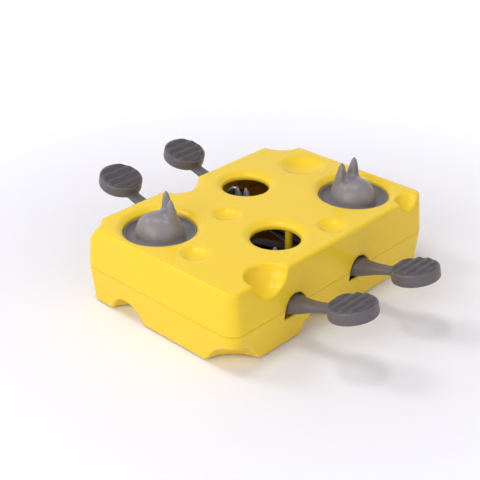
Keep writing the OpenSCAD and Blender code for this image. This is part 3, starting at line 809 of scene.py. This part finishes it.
@dataclass
class Lever:
    """One paddle lever with its wavy grip, worked out about its pivot with the paddle towards -Y.

    The paddle's middle is out from the pivot and up from it, and the paddle leans by its tilt.
    """

    job: Job
    side: Side
    half_turn: bool
    out: float
    up: float
    tilt: float
    rib_shift: float
    drop: float = 11.0
    disc_r: float = 20.0
    thick: float = 10.5
    sole_edge: float = 2.5
    cap_level: float = 0.3
    rim: float = 1.6
    seat_lap: float = 0.6
    seat_depth: float = 1.2
    grip_r: float = 18.5
    grip_edge: float = 2.2
    grip_sink: float = 0.15
    grip_sole: float = 0.35
    grip_swell: float = 0.25
    grip_rings: int = 72
    edge_rings: int = 16
    grip_sides: int = 240
    rib_pitch: float = 8.5
    rib_swing: float = 0.5
    rib_wave: float = 15.0
    rib_high: float = 1.7
    rib_narrow: float = 1.3
    hub_r: float = 7.5
    hub_half: float = 10.0
    bore_r: float = 2.05
    heel_y: float = 106.0
    heel_r: float = 3.5
    heel_z: tuple[float, float] = (6.5, 13.5)
    power: float = 2.4
    mesher: NetMesher = field(default_factory=lambda: NetMesher(0.8))

    # Outer arm, at shares of the reach: shares of the rise, half width and half height
    STATIONS = ((0.0, 0.0, 10.0, 7.5), (0.08, 0.03, 10.3, 8.0), (0.14, 0.05, 10.0, 7.5),
                (0.23, 0.10, 8.8, 6.2), (0.43, 0.27, 6.9, 4.1), (0.6, 0.42, 6.2, 3.2),
                (0.79, 0.54, 5.9, 2.9), (0.86, 0.58, 5.8, 2.8))
    # Fillets where the hub, the paddle and the inner arm's end join the rest
    HUB_FILLET, DISC_FILLET, END_FILLET, HUB_EDGE = 1.0, 1.2, 0.8, 0.8
    # Lowest X and highest Y of the room in which each kind of lever is meshed, and the spare round it
    ROOM = {Job.POP: (-21.0, 134.0), Job.CUP: (-38.0, 128.0)}
    SPARE, LOWEST, HEADROOM = 1.0, -30.0, 7.0

    @property
    def name(self) -> str:
        """The lever's name, as its body has it."""
        return f"{self.job.value}_{self.side.value}"

    def arm(self, p: np.ndarray) -> np.ndarray:
        """Outer arm: an oval whose centre and half sizes run smoothly through the stations.

        Its section is |x / half width| and |z / half height|, each to the same power, that add up to one.

        Args:
            p: Points about the pivot.

        Returns:
            Distances, negative inside.
        """
        last = self.STATIONS[-1][0]
        centre, half_x, half_z = eased(self.STATIONS, np.clip(-p[:, 1] / self.out, 0, last))
        across = np.abs(p[:, 0] / half_x) ** self.power
        upwards = np.abs((p[:, 2] - centre * self.up) / half_z) ** self.power
        oval = ((across + upwards) ** (1 / self.power) - 1) * half_z
        return np.maximum(np.maximum(oval, -p[:, 1] - last * self.out), p[:, 1])

    def disc(self, p: np.ndarray) -> np.ndarray:
        """Paddle: a round plate with rounded edges and a shallow seat for its grip.

        Args:
            p: Points about the pivot.

        Returns:
            Distances, negative inside.
        """
        q = turned(p, (0, -self.out, self.up), -self.tilt, "X")
        r = np.hypot(q[:, 0], q[:, 1])
        above = q[:, 2] - self.cap_level
        plate = round_join(r - self.disc_r, -self.thick - q[:, 2], self.sole_edge)
        plate = round_join(plate, above, self.rim)
        return np.maximum(plate, -np.maximum(r - self.grip_r + self.seat_lap, -self.seat_depth - above))

    def inner(self, p: np.ndarray) -> np.ndarray:
        """Inner arm: the pocketed bar, the seat at its end and the heel that rests on the housing's pad.

        Args:
            p: Points about the pivot.

        Returns:
            Distances, negative inside.
        """
        reach = -POP_HOLE.y if self.job is Job.POP else CUP_HOLE.y
        sizes = InnerArm((PIVOT_Y + reach) / math.cos(math.radians(self.drop)))
        x, u, v = turned(p, (0, 0, 0), -self.drop, "X").T
        end = sizes.mouse_seat(x, u, v) if self.job is Job.POP else sizes.pad_seat(x, u, v)
        low, high = self.heel_z
        heel = np.maximum(np.hypot(p[:, 0], p[:, 1] - self.heel_y) - self.heel_r,
                          np.maximum(low - PIVOT_Z - p[:, 2], p[:, 2] - high + PIVOT_Z))
        return np.minimum(round_union(sizes.bar(x, u, v), end, self.END_FILLET), heel)

    def shape(self, p: np.ndarray) -> np.ndarray:
        """Whole lever about its pivot: hub, outer arm, paddle and inner arm, with filled corners.

        Args:
            p: Points about the pivot.

        Returns:
            Distances, negative inside.
        """
        from_pin = np.hypot(p[:, 1], p[:, 2])
        hub = round_join(from_pin - self.hub_r, np.abs(p[:, 0]) - self.hub_half, self.HUB_EDGE)
        body = round_union(self.arm(p), hub, self.HUB_FILLET)
        body = round_union(body, self.disc(p), self.DISC_FILLET)
        body = np.minimum(body, self.inner(p))
        return np.maximum(body, self.bore_r - from_pin)

    def grip(self) -> tuple[np.ndarray, np.ndarray]:
        """Grip: a round insert in the paddle's top with soft, slightly wavy ribs.

        Its surface runs outwards over the top, down at the edge and back underneath. The top's height
        is a cosine of the distance across the ribs, whose crests are broader than its troughs, times a
        fall that is a quarter of an ellipse over the last part before the edge.

        Returns:
            Vertices about the pivot, and quads.
        """
        rings, sides, radius, edge = self.grip_rings, self.grip_sides, self.grip_r, self.grip_edge
        round_part = np.sin(np.linspace(0, np.pi / 2, self.edge_rings + 1)[1:])
        r = np.concatenate([np.linspace(0, radius - edge, rings - self.edge_rings),
                            radius - edge + edge * round_part])
        fade = np.sqrt(np.clip(1 - (np.clip(r - radius + edge, 0, edge) / edge) ** 2, 0, 1))
        a = np.linspace(0, 2 * np.pi, sides, endpoint=False)
        rr, aa = np.meshgrid(r, a, indexing="xy")
        x, y = rr * np.cos(aa), rr * np.sin(aa)
        wave = self.rib_swing * np.sin(2 * np.pi * x / self.rib_wave)
        phase = 2 * np.pi * (y - self.rib_shift - wave) / self.rib_pitch
        crest = 1 - (0.5 - 0.5 * np.cos(phase)) ** self.rib_narrow
        top = self.cap_level - self.grip_sink + (self.grip_swell + self.rib_high * crest) * fade
        top_points = np.stack([x, y, top], axis=2).reshape(-1, 3)
        sole_z = self.cap_level - self.grip_sole
        low_ring = np.stack([radius * np.cos(a), radius * np.sin(a), np.full(sides, sole_z)], axis=1)
        centre = np.array([[0.0, 0.0, sole_z]])
        points = np.concatenate([top_points, low_ring, np.repeat(centre, sides, axis=0)])
        i, j = np.meshgrid(np.arange(sides), np.arange(rings - 1), indexing="ij")
        nxt = (i + 1) % sides
        quads = np.stack([i * rings + j, i * rings + j + 1, nxt * rings + j + 1, nxt * rings + j], axis=2)
        k = np.arange(sides)
        k1 = (k + 1) % sides
        low, hub = sides * rings, sides * rings + sides
        skirt = np.stack([k * rings + rings - 1, low + k, low + k1, k1 * rings + rings - 1], axis=1)
        sole = np.stack([low + k, hub + k, hub + k1, low + k1], axis=1)
        turn = np.array(Matrix.Rotation(math.radians(-self.tilt), 3, "X"))
        points = points @ turn.T + np.array([0, -self.out, self.up])
        return points, np.concatenate([quads.reshape(-1, 4), skirt, sole])

    def placed(self, points: np.ndarray) -> np.ndarray:
        """Points about the pivot moved to this lever's place on the block."""
        moved = points + np.array([*NEAR_PIVOT[self.job], PIVOT_Z])
        return moved * np.array([-1, -1, 1]) if self.half_turn else moved

    def build(self, paint: Paintbox) -> None:
        """Makes the lever and its grip and has them ride on the lever's body.

        Args:
            paint: Where the finishes come from.
        """
        left, far = self.ROOM[self.job]
        beyond = self.disc_r + self.SPARE
        points, quads = self.mesher.mesh(self.shape, (left, -self.out - beyond, self.LOWEST),
                                         (beyond, far, self.up + self.HEADROOM))
        arm = add_piece(f"{self.name}_arm", self.placed(points), quads)
        points, quads = self.grip()
        grip = add_piece(f"{self.name}_grip", self.placed(points), quads)
        merge_close(grip)
        for obj, node, finish in ((arm, f"{self.job.value}_lever_{self.side.value}", Finish.LEVER),
                                  (grip, f"grip_{self.name}", Finish.GRIP)):
            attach(obj, f"lever_{self.name}")
            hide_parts(node)
            paint.coat(obj, finish)
        LOG.info("%s: %d quads", self.name, len(arm.data.polygons))


def eased(table: Sequence[Sequence[float]], at: np.ndarray, samples: int = 90,
          spread: int = 4) -> list[np.ndarray]:
    """Runs smooth curves through a table whose first column is the place along them.

    The straight lines between the rows are sampled at equal places, and a running mean over each
    sample and its neighbours rounds their corners.

    Args:
        table: Rows of place and values, in rising order of place.
        at: Places wanted, in the unit of the first column.
        samples: Number of samples.
        spread: Number of neighbours on each side in the mean.

    Returns:
        One array for each of the other columns.
    """
    rows = np.array(table)
    places = np.linspace(rows[0, 0], rows[-1, 0], samples)
    width = 2 * spread + 1
    curves = []
    for column in rows.T[1:]:
        padded = np.pad(np.interp(places, rows[:, 0], column), spread, mode="reflect", reflect_type="odd")
        curves.append(np.interp(at, places, np.convolve(padded, np.ones(width) / width, mode="valid")))
    return curves


@dataclass
class MouseHead:
    """A mouse's head on a flat base, facing +X. Its ears are in millimetres at a base radius of TABLE_R."""

    r: float
    ear_top: float = 35.2
    ear_back: float = 7.9
    ear_side: float = 8.0
    ear_lean: float = 1.0
    crown_rise: float = 1.05
    crown_fillet: float = 3.4
    power: float = 2.3

    TABLE_R = 19.4
    # Below the tip: how far the ear's front and rear stand from the tip's middle, and its half width
    EAR = ((0.0, 0.15, 0.25, 0.5), (0.5, 0.95, 0.95, 1.2), (1.2, 1.45, 1.35, 1.8), (2.5, 1.95, 1.85, 2.4),
           (4.0, 2.45, 2.3, 2.9), (6.0, 3.05, 2.9, 3.4), (8.0, 3.5, 3.5, 3.9), (10.0, 3.85, 4.1, 4.4),
           (12.5, 4.2, 4.9, 4.9), (16.0, 4.6, 6.0, 5.2), (20.0, 5.2, 7.4, 5.4), (24.0, 6.2, 8.6, 5.4),
           (28.0, 7.2, 9.4, 5.4), (36.5, 8.5, 9.8, 5.4))
    # The egg that hollows the ear: middle, lean, half sizes and the rounding of its edge
    HOLLOW_AT, HOLLOW_LEAN, HOLLOW_HALF, HOLLOW_EDGE = (6.3, 0, 20.5), -6.0, (4.0, 3.9, 12.5), 0.7
    # The rest in shares of the radius. Snout: root, reach, height, fall, thickness, taper and fillet
    SNOUT = (0.2, 0.62, 0.4, 0.2, 0.46, 0.26, 0.22)
    # Brow: how far in front, how high, radius and fillet
    BROW = (0.39, 0.36, 0.59, 0.2)

    def ear(self, p: np.ndarray, side: int) -> np.ndarray:
        """Ear: a rounded slab whose outline runs smoothly through the table, hollowed in front.

        The section at a height is the oval |x / half depth| and |y / half width|, each to the same
        power, that add up to one.

        Args:
            p: Points about the middle of the base.
            side: -1 or 1, the side of the head.

        Returns:
            Distances, negative inside.
        """
        k = self.r / self.TABLE_R
        q = turned(p / k, (-self.ear_back, side * self.ear_side, 0), -self.ear_lean * side, "X")
        below = np.clip(self.ear_top - q[:, 2], 0, self.EAR[-1][0])
        front, rear, width = eased(self.EAR, below)
        depth = (front + rear) / 2
        deep = np.abs((q[:, 0] - (front - rear) / 2) / depth) ** self.power
        ratio = (deep + np.abs(q[:, 1] / width) ** self.power) ** (1 / self.power)
        oval = np.maximum((ratio - 1) * np.minimum(depth, width), q[:, 2] - self.ear_top)
        hollow = turned(q, self.HOLLOW_AT, self.HOLLOW_LEAN, "Y") / np.array(self.HOLLOW_HALF)
        egg = (np.linalg.norm(hollow, axis=1) - 1) * self.HOLLOW_HALF[1]
        return round_cut(oval, egg, self.HOLLOW_EDGE) * k

    def shape(self, p: np.ndarray) -> np.ndarray:
        """Head: a half ball on a straight foot, with a brow, a low snout and two ears that flow into it.

        The snout is a ball that shrinks as its middle runs forwards and down a short line.

        Args:
            p: Points about the middle of the base.

        Returns:
            Distances, negative inside.
        """
        r = self.r
        dome = np.sqrt(p[:, 0] ** 2 + p[:, 1] ** 2 + (np.maximum(p[:, 2], 0) / self.crown_rise) ** 2) - r
        root, reach, high, fall, thick, taper, fillet = self.SNOUT
        along = np.clip((p[:, 0] - root * r) / (reach * r), 0, 1)
        line = np.stack([root * r + reach * r * along, np.zeros(len(p)), (high - fall * along) * r], axis=1)
        snout = np.linalg.norm(p - line, axis=1) - (thick - taper * along) * r
        head = round_union(dome, snout, fillet * r)
        forward, high, size, fillet = self.BROW
        head = round_union(head, sphere(p, (forward * r, 0, high * r), size * r), fillet * r)
        ears = np.minimum(self.ear(p, -1), self.ear(p, 1))
        return round_union(head, ears, self.crown_fillet * r / self.TABLE_R)


@dataclass
class Cup:
    """A treat cup with its mouse, on the lift platform."""

    side: Side
    centre: tuple[float, float]
    turn: float
    r: float = 30.6
    rim_z: float = 66.3
    base_z: float = 57.3
    lip_edge: float = 0.4
    deck_r: float = 19.4
    deck_z: float = 62.3
    deck_lap: float = 0.2
    groove: tuple[float, float, float] = (22.84, 68.4, 7.0)
    head_z: float = 63.5
    head_sunk: float = 1.0
    foot_fillet: float = 2.8
    foot_under: float = 0.07
    foot_high: float = 2.1
    foot_beyond: float = 1.6
    sides: int = 160

    # Underside from the peg outwards: radius and height, then the wall's foot counted from the outside
    UNDER = ((0.0, -4.2), (3.7, -4.2), (4.0, -3.9), (4.0, 0.0), (6.2, 0.0), (6.2, 3.3), (15.0, 3.3),
             (16.5, 2.0))
    WALL_FOOT = ((-2.0, 2.0), (-2.0, 0.0), (-0.4, 0.0), (0.0, 0.4))
    # Room in which the mouse is meshed
    ROOM = ((-25.0, -25.0, -2.5), (25.0, 25.0, 36.0))

    def profile(self) -> np.ndarray:
        """Outline of the cup from its peg round the foot, the rim and the groove to the deck.

        The groove is part of a circle and the lip a quarter of one.

        Returns:
            Rows of radius and height.
        """
        gx, gz, gr = self.groove
        a = np.linspace(-math.asin((gz - self.rim_z) / gr), -math.pi + math.acos((gx - self.deck_r) / gr), 40)
        trough = np.stack([gx + gr * np.cos(a), gz + gr * np.sin(a)], axis=1)
        corner = np.linspace(0, math.pi / 2, 6)
        lip = np.stack([self.r - self.lip_edge + self.lip_edge * np.cos(corner),
                        self.rim_z - self.lip_edge + self.lip_edge * np.sin(corner)], axis=1)
        under = np.array(self.UNDER) + [0, self.base_z]
        wall_foot = np.array(self.WALL_FOOT) + [self.r, self.base_z]
        deck = np.array([(self.deck_r - self.deck_lap, self.deck_z), (0, self.deck_z)])
        return np.concatenate([under, wall_foot, lip, trough, deck])

    def mouse(self, p: np.ndarray) -> np.ndarray:
        """Mouse on the deck, with a round fillet at its foot that runs out into the treat groove.

        The foot follows the groove a little below its surface, and ends inside the dish.

        Args:
            p: Points about the middle of the head's base.

        Returns:
            Distances, negative inside.
        """
        gx, gz, gr = self.groove
        out = np.hypot(p[:, 0], p[:, 1])
        under_groove = gr + self.foot_under - np.hypot(out - gx, p[:, 2] - gz + self.head_z)
        foot = np.maximum(under_groove, p[:, 2] - self.foot_high)
        body = round_union(MouseHead(self.deck_r).shape(p), foot, self.foot_fillet)
        sole = self.deck_z - self.head_sunk - self.head_z
        return np.maximum(np.maximum(body, out - gx - self.foot_beyond), sole - p[:, 2])

    def placed(self, points: np.ndarray) -> np.ndarray:
        """Points about the cup's own axis, turned and moved to its hole."""
        turn = np.array(Matrix.Rotation(math.radians(self.turn), 3, "Z"))
        return points @ turn.T + np.array([*self.centre, 0.0])

    def build(self, paint: Paintbox) -> None:
        """Makes the dish and the mouse head and has them ride on the cup's body.

        Args:
            paint: Where the finishes come from.
        """
        side = self.side.value
        points, quads = lathe(self.profile(), self.sides)
        dish = add_piece(f"cup_dish_{side}", self.placed(points), quads)
        merge_close(dish)
        points, quads = NetMesher(MOUSE_CELL).mesh(self.mouse, *self.ROOM)
        mouse = add_piece(f"cup_mouse_head_{side}", self.placed(points + [0, 0, self.head_z]), quads)
        # The dish takes the darker cup grey, painted shade for where it sits down in its hole.
        for obj, node, finish in ((dish, f"treat_cup_{side}", Finish.CUP),
                                  (mouse, f"cup_mouse_{side}", Finish.MOUSE)):
            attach(obj, f"cup_{side}")
            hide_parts(node)
            paint.coat(obj, finish)
        LOG.info("cup %s: %d quads in the mouse", side, len(mouse.data.polygons))


@dataclass
class PopMouse:
    """A small mouse on its neck, square to the end of a pop-up lever."""

    side: Side
    half_turn: bool
    r: float = 12.7
    neck: float = 27.0
    neck_r: float = 9.15
    neck_taper: float = 1.0
    neck_lap: float = 2.0
    neck_fillet: float = 1.0
    chin_edge: float = 0.4
    seat: float = 3.5
    drop: float = 11.0
    facing: float = 180.0
    room: float = 13.0
    head_share: float = 1.83

    def shape(self, p: np.ndarray) -> np.ndarray:
        """Tapered neck with the head on it; the head faces along the block.

        Args:
            p: Points about the middle of the neck's foot.

        Returns:
            Distances, negative inside.
        """
        q = turned(p, (0, 0, self.neck), self.facing, "Z")
        head = round_join(MouseHead(self.r).shape(q), -q[:, 2], self.chin_edge)
        radius = self.neck_r - self.neck_taper * np.clip(p[:, 2] / self.neck, 0, 1)
        ends = np.maximum(-p[:, 2], p[:, 2] - self.neck - self.neck_lap)
        return round_union(np.maximum(np.hypot(p[:, 0], p[:, 1]) - radius, ends), head, self.neck_fillet)

    def build(self, paint: Paintbox) -> None:
        """Makes the mouse at the end of its lever's inner arm and has it ride on the lever.

        Args:
            paint: Where the finishes come from.
        """
        high = (self.room, self.room, self.neck + self.head_share * self.r)
        points, quads = NetMesher(MOUSE_CELL).mesh(self.shape, (-self.room, -self.room, 0), high)
        length = (PIVOT_Y - POP_HOLE.y) / math.cos(math.radians(self.drop))
        tilt = np.array(Matrix.Rotation(math.radians(-self.drop), 3, "X"))
        pivot_x = NEAR_PIVOT[Job.POP][0]
        points = (points + [-POP_HOLE.x - pivot_x, length, self.seat]) @ tilt.T
        points = points + [pivot_x, -PIVOT_Y, PIVOT_Z]
        if self.half_turn:
            points = points * [-1, -1, 1]
        side = self.side.value
        obj = add_piece(f"pop_mouse_figure_{side}", points, quads)
        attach(obj, f"lever_pop_{side}")
        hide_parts(f"pop_mouse_{side}")
        paint.coat(obj, Finish.MOUSE)
        LOG.info("pop mouse %s: %d quads", side, len(quads))


class Hardware:
    """The CAD nodes that keep their own shape and get a finish."""

    FINISHES = {
        Finish.STEEL: ("housing_screws", "pin_rings", "pivot_pin_pop_left", "pivot_pin_pop_right",
                       "pivot_pin_cup_left", "pivot_pin_cup_right", "pop_mouse_screw_left",
                       "pop_mouse_screw_right", "cup_mouse_screws_left", "cup_mouse_screws_right"),
        Finish.RUBBER: ("rubber_feet", "rest_pads", "lift_pad_left", "lift_pad_right"),
        Finish.LEVER: ("lift_platform_left", "lift_platform_right", "lift_skirt_left", "lift_skirt_right"),
    }

    def dress(self, paint: Paintbox) -> None:
        """Gives each kept node its finish.

        Args:
            paint: Where the finishes come from.
        """
        for finish, nodes in self.FINISHES.items():
            for node in nodes:
                paint.coat(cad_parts[node], finish)
                LOG.info("%s: %s", node, finish.value)


@dataclass(frozen=True)
class Lamp:
    """A square lamp: place and size in metres, power in watts."""

    name: str
    place: tuple[float, float, float]
    size: float
    watts: float


@dataclass
class Studio:
    """Pale floor, soft light and the photograph's camera. Lengths are in metres."""

    eye: tuple[float, float, float] = (-0.593246, -0.538691, 0.476577)
    look: tuple[float, float, float] = (0.638446, 0.602009, -0.479554)
    focal_px: float = 1044.06
    frame_px: float = 480.0
    sensor_mm: float = 36.0
    near_clip: float = 0.01
    floor_half: float = 6.0
    floor_cells: int = 48
    floor_flat: float = 2.6
    floor_curve: float = 0.35
    # The paper leans blue: a painted tint against the yellow light that the block bounces onto it.
    paper: tuple[float, float, float] = (0.88, 0.875, 0.915)
    # Painted light on the floor: a glow seen by the camera and in reflections, low near the toy as painted
    # shade round it and high far off; its middle point sits towards the block's left end.
    painted_floor_glow: tuple[float, float] = (0.03, 0.55)
    painted_shade_middle: tuple[float, float, float] = (-0.11, 0.03, 0.0)
    painted_glow_reach: tuple[float, float] = (0.1, 0.95)
    sky: tuple[float, float, float] = (1.0, 0.985, 1.0)
    sky_strength: float = 0.5
    lamps_aim: tuple[float, float, float] = (0.0, 0.0, 0.04)

    LAMPS = (Lamp("key", (-0.48, 0.80, 1.30), 0.45, 4.8), Lamp("overhead", (-0.22, 0.1, 1.55), 0.26, 3.4),
             Lamp("near_end", (-1.15, -0.05, 0.62), 0.85, 6.6), Lamp("fill", (-0.1, -1.5, 0.85), 1.3, 4.4))

    @staticmethod
    def aimed(place: Sequence[float], line: Vector) -> Matrix:
        """Matrix at a place whose -Z axis runs along a line and whose X axis stays level."""
        return Matrix.Translation(place) @ line.to_track_quat("-Z", "Y").to_matrix().to_4x4()

    def camera(self) -> None:
        """Places the camera: its -Z axis is the line of sight."""
        data = bpy.data.cameras.new("photo_camera")
        data.sensor_width = self.sensor_mm
        data.sensor_fit = "HORIZONTAL"
        data.lens = self.focal_px * data.sensor_width / self.frame_px
        data.clip_start = self.near_clip
        obj = bpy.data.objects.new("photo_camera", data)
        bpy.context.scene.collection.objects.link(obj)
        obj.matrix_world = self.aimed(self.eye, Vector(self.look))
        bpy.context.scene.camera = obj

    def floor(self) -> None:
        """A wide pale floor: flat near the toy, and then rising with the square of the way beyond."""
        n = self.floor_cells
        side = np.linspace(-self.floor_half, self.floor_half, n + 1)
        x, y = np.meshgrid(side, side, indexing="ij")
        beyond = np.clip(np.hypot(x, y) - self.floor_flat, 0, None)
        points = np.stack([x, y, self.floor_curve * beyond ** 2], axis=2).reshape(-1, 3)
        i, j = np.meshgrid(np.arange(n), np.arange(n), indexing="ij")
        first = i * (n + 1) + j
        quads = np.stack([first, first + n + 1, first + n + 2, first + 1], axis=2).reshape(-1, 4)
        obj = add_mesh("studio_floor", points, quads)
        obj.data.materials.append(self.paper_material())

    def paper_material(self) -> bpy.types.Material:
        """Pale paper that looks lighter to the camera and in reflections the farther it is from the toy.

        Its glow is painted light: it rises smoothly with the distance from a point near the toy and lights
        nothing, so the paper near the toy reads darker as painted shade round it and the far paper reads
        white.

        Returns:
            The material.
        """
        mat = bpy.data.materials.new("pale_paper")
        mat.use_nodes = True
        nodes, links = mat.node_tree.nodes, mat.node_tree.links
        shader = nodes["Principled BSDF"]
        shader.inputs["Base Color"].default_value = (*self.paper, 1)
        shader.inputs["Roughness"].default_value = 0.9
        shader.inputs["Specular IOR Level"].default_value = 0.1
        ray = nodes.new("ShaderNodeLightPath")
        seen = nodes.new("ShaderNodeMath")
        seen.operation = "MAXIMUM"
        links.new(ray.outputs["Is Camera Ray"], seen.inputs[0])
        links.new(ray.outputs["Is Glossy Ray"], seen.inputs[1])
        coords = nodes.new("ShaderNodeTexCoord")
        away = nodes.new("ShaderNodeVectorMath")
        away.operation = "DISTANCE"
        away.inputs[1].default_value = self.painted_shade_middle
        links.new(coords.outputs["Object"], away.inputs[0])
        rise = nodes.new("ShaderNodeMapRange")
        rise.interpolation_type = "SMOOTHSTEP"
        rise.inputs["From Min"].default_value, rise.inputs["From Max"].default_value = self.painted_glow_reach
        rise.inputs["To Min"].default_value, rise.inputs["To Max"].default_value = self.painted_floor_glow
        links.new(away.outputs["Value"], rise.inputs["Value"])
        lift = nodes.new("ShaderNodeMath")
        lift.operation = "MULTIPLY"
        links.new(rise.outputs["Result"], lift.inputs[1])
        links.new(seen.outputs["Value"], lift.inputs[0])
        glow = nodes.new("ShaderNodeEmission")
        links.new(lift.outputs["Value"], glow.inputs["Strength"])
        both = nodes.new("ShaderNodeAddShader")
        links.new(shader.outputs["BSDF"], both.inputs[0])
        links.new(glow.outputs["Emission"], both.inputs[1])
        links.new(both.outputs["Shader"], nodes["Material Output"].inputs["Surface"])
        return mat

    def light(self) -> None:
        """An even pale sky and four soft lamps: behind, above, at the left end and a weak fill in front."""
        world = bpy.data.worlds.new("studio_sky")
        world.use_nodes = True
        background = world.node_tree.nodes["Background"]
        background.inputs["Color"].default_value = (*self.sky, 1)
        background.inputs["Strength"].default_value = self.sky_strength
        bpy.context.scene.world = world
        for lamp in self.LAMPS:
            data = bpy.data.lights.new(lamp.name, "AREA")
            data.shape = "SQUARE"
            data.size = lamp.size
            data.energy = lamp.watts
            obj = bpy.data.objects.new(lamp.name, data)
            obj.matrix_world = self.aimed(lamp.place, Vector(self.lamps_aim) - Vector(lamp.place))
            bpy.context.scene.collection.objects.link(obj)


def main() -> None:
    """Builds the toy piece by piece, then the studio."""
    logging.basicConfig(level=logging.INFO, format="%(name)s: %(message)s")
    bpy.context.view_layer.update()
    bpy.context.scene.view_settings.view_transform = "Standard"
    paint = Paintbox()
    studio = Studio()
    studio.camera()
    toy = (
        Housing(),
        Lever(Job.POP, Side.LEFT, half_turn=True, out=67.5, up=30.5, tilt=15.0, rib_shift=2.2),
        Lever(Job.POP, Side.RIGHT, half_turn=False, out=62.0, up=22.5, tilt=14.0, rib_shift=-2.0),
        Lever(Job.CUP, Side.LEFT, half_turn=False, out=62.0, up=25.5, tilt=14.0, rib_shift=-2.0),
        Lever(Job.CUP, Side.RIGHT, half_turn=True, out=67.5, up=30.5, tilt=15.0, rib_shift=2.2),
        PopMouse(Side.LEFT, half_turn=True),
        PopMouse(Side.RIGHT, half_turn=False),
        Cup(Side.LEFT, (CUP_HOLE.x, CUP_HOLE.y), turn=149.0),
        Cup(Side.RIGHT, (-CUP_HOLE.x, -CUP_HOLE.y), turn=270.0))
    for piece in toy:
        piece.build(paint)
    Hardware().dress(paint)
    studio.floor()
    studio.light()


if __name__ == "__main__":
    main()
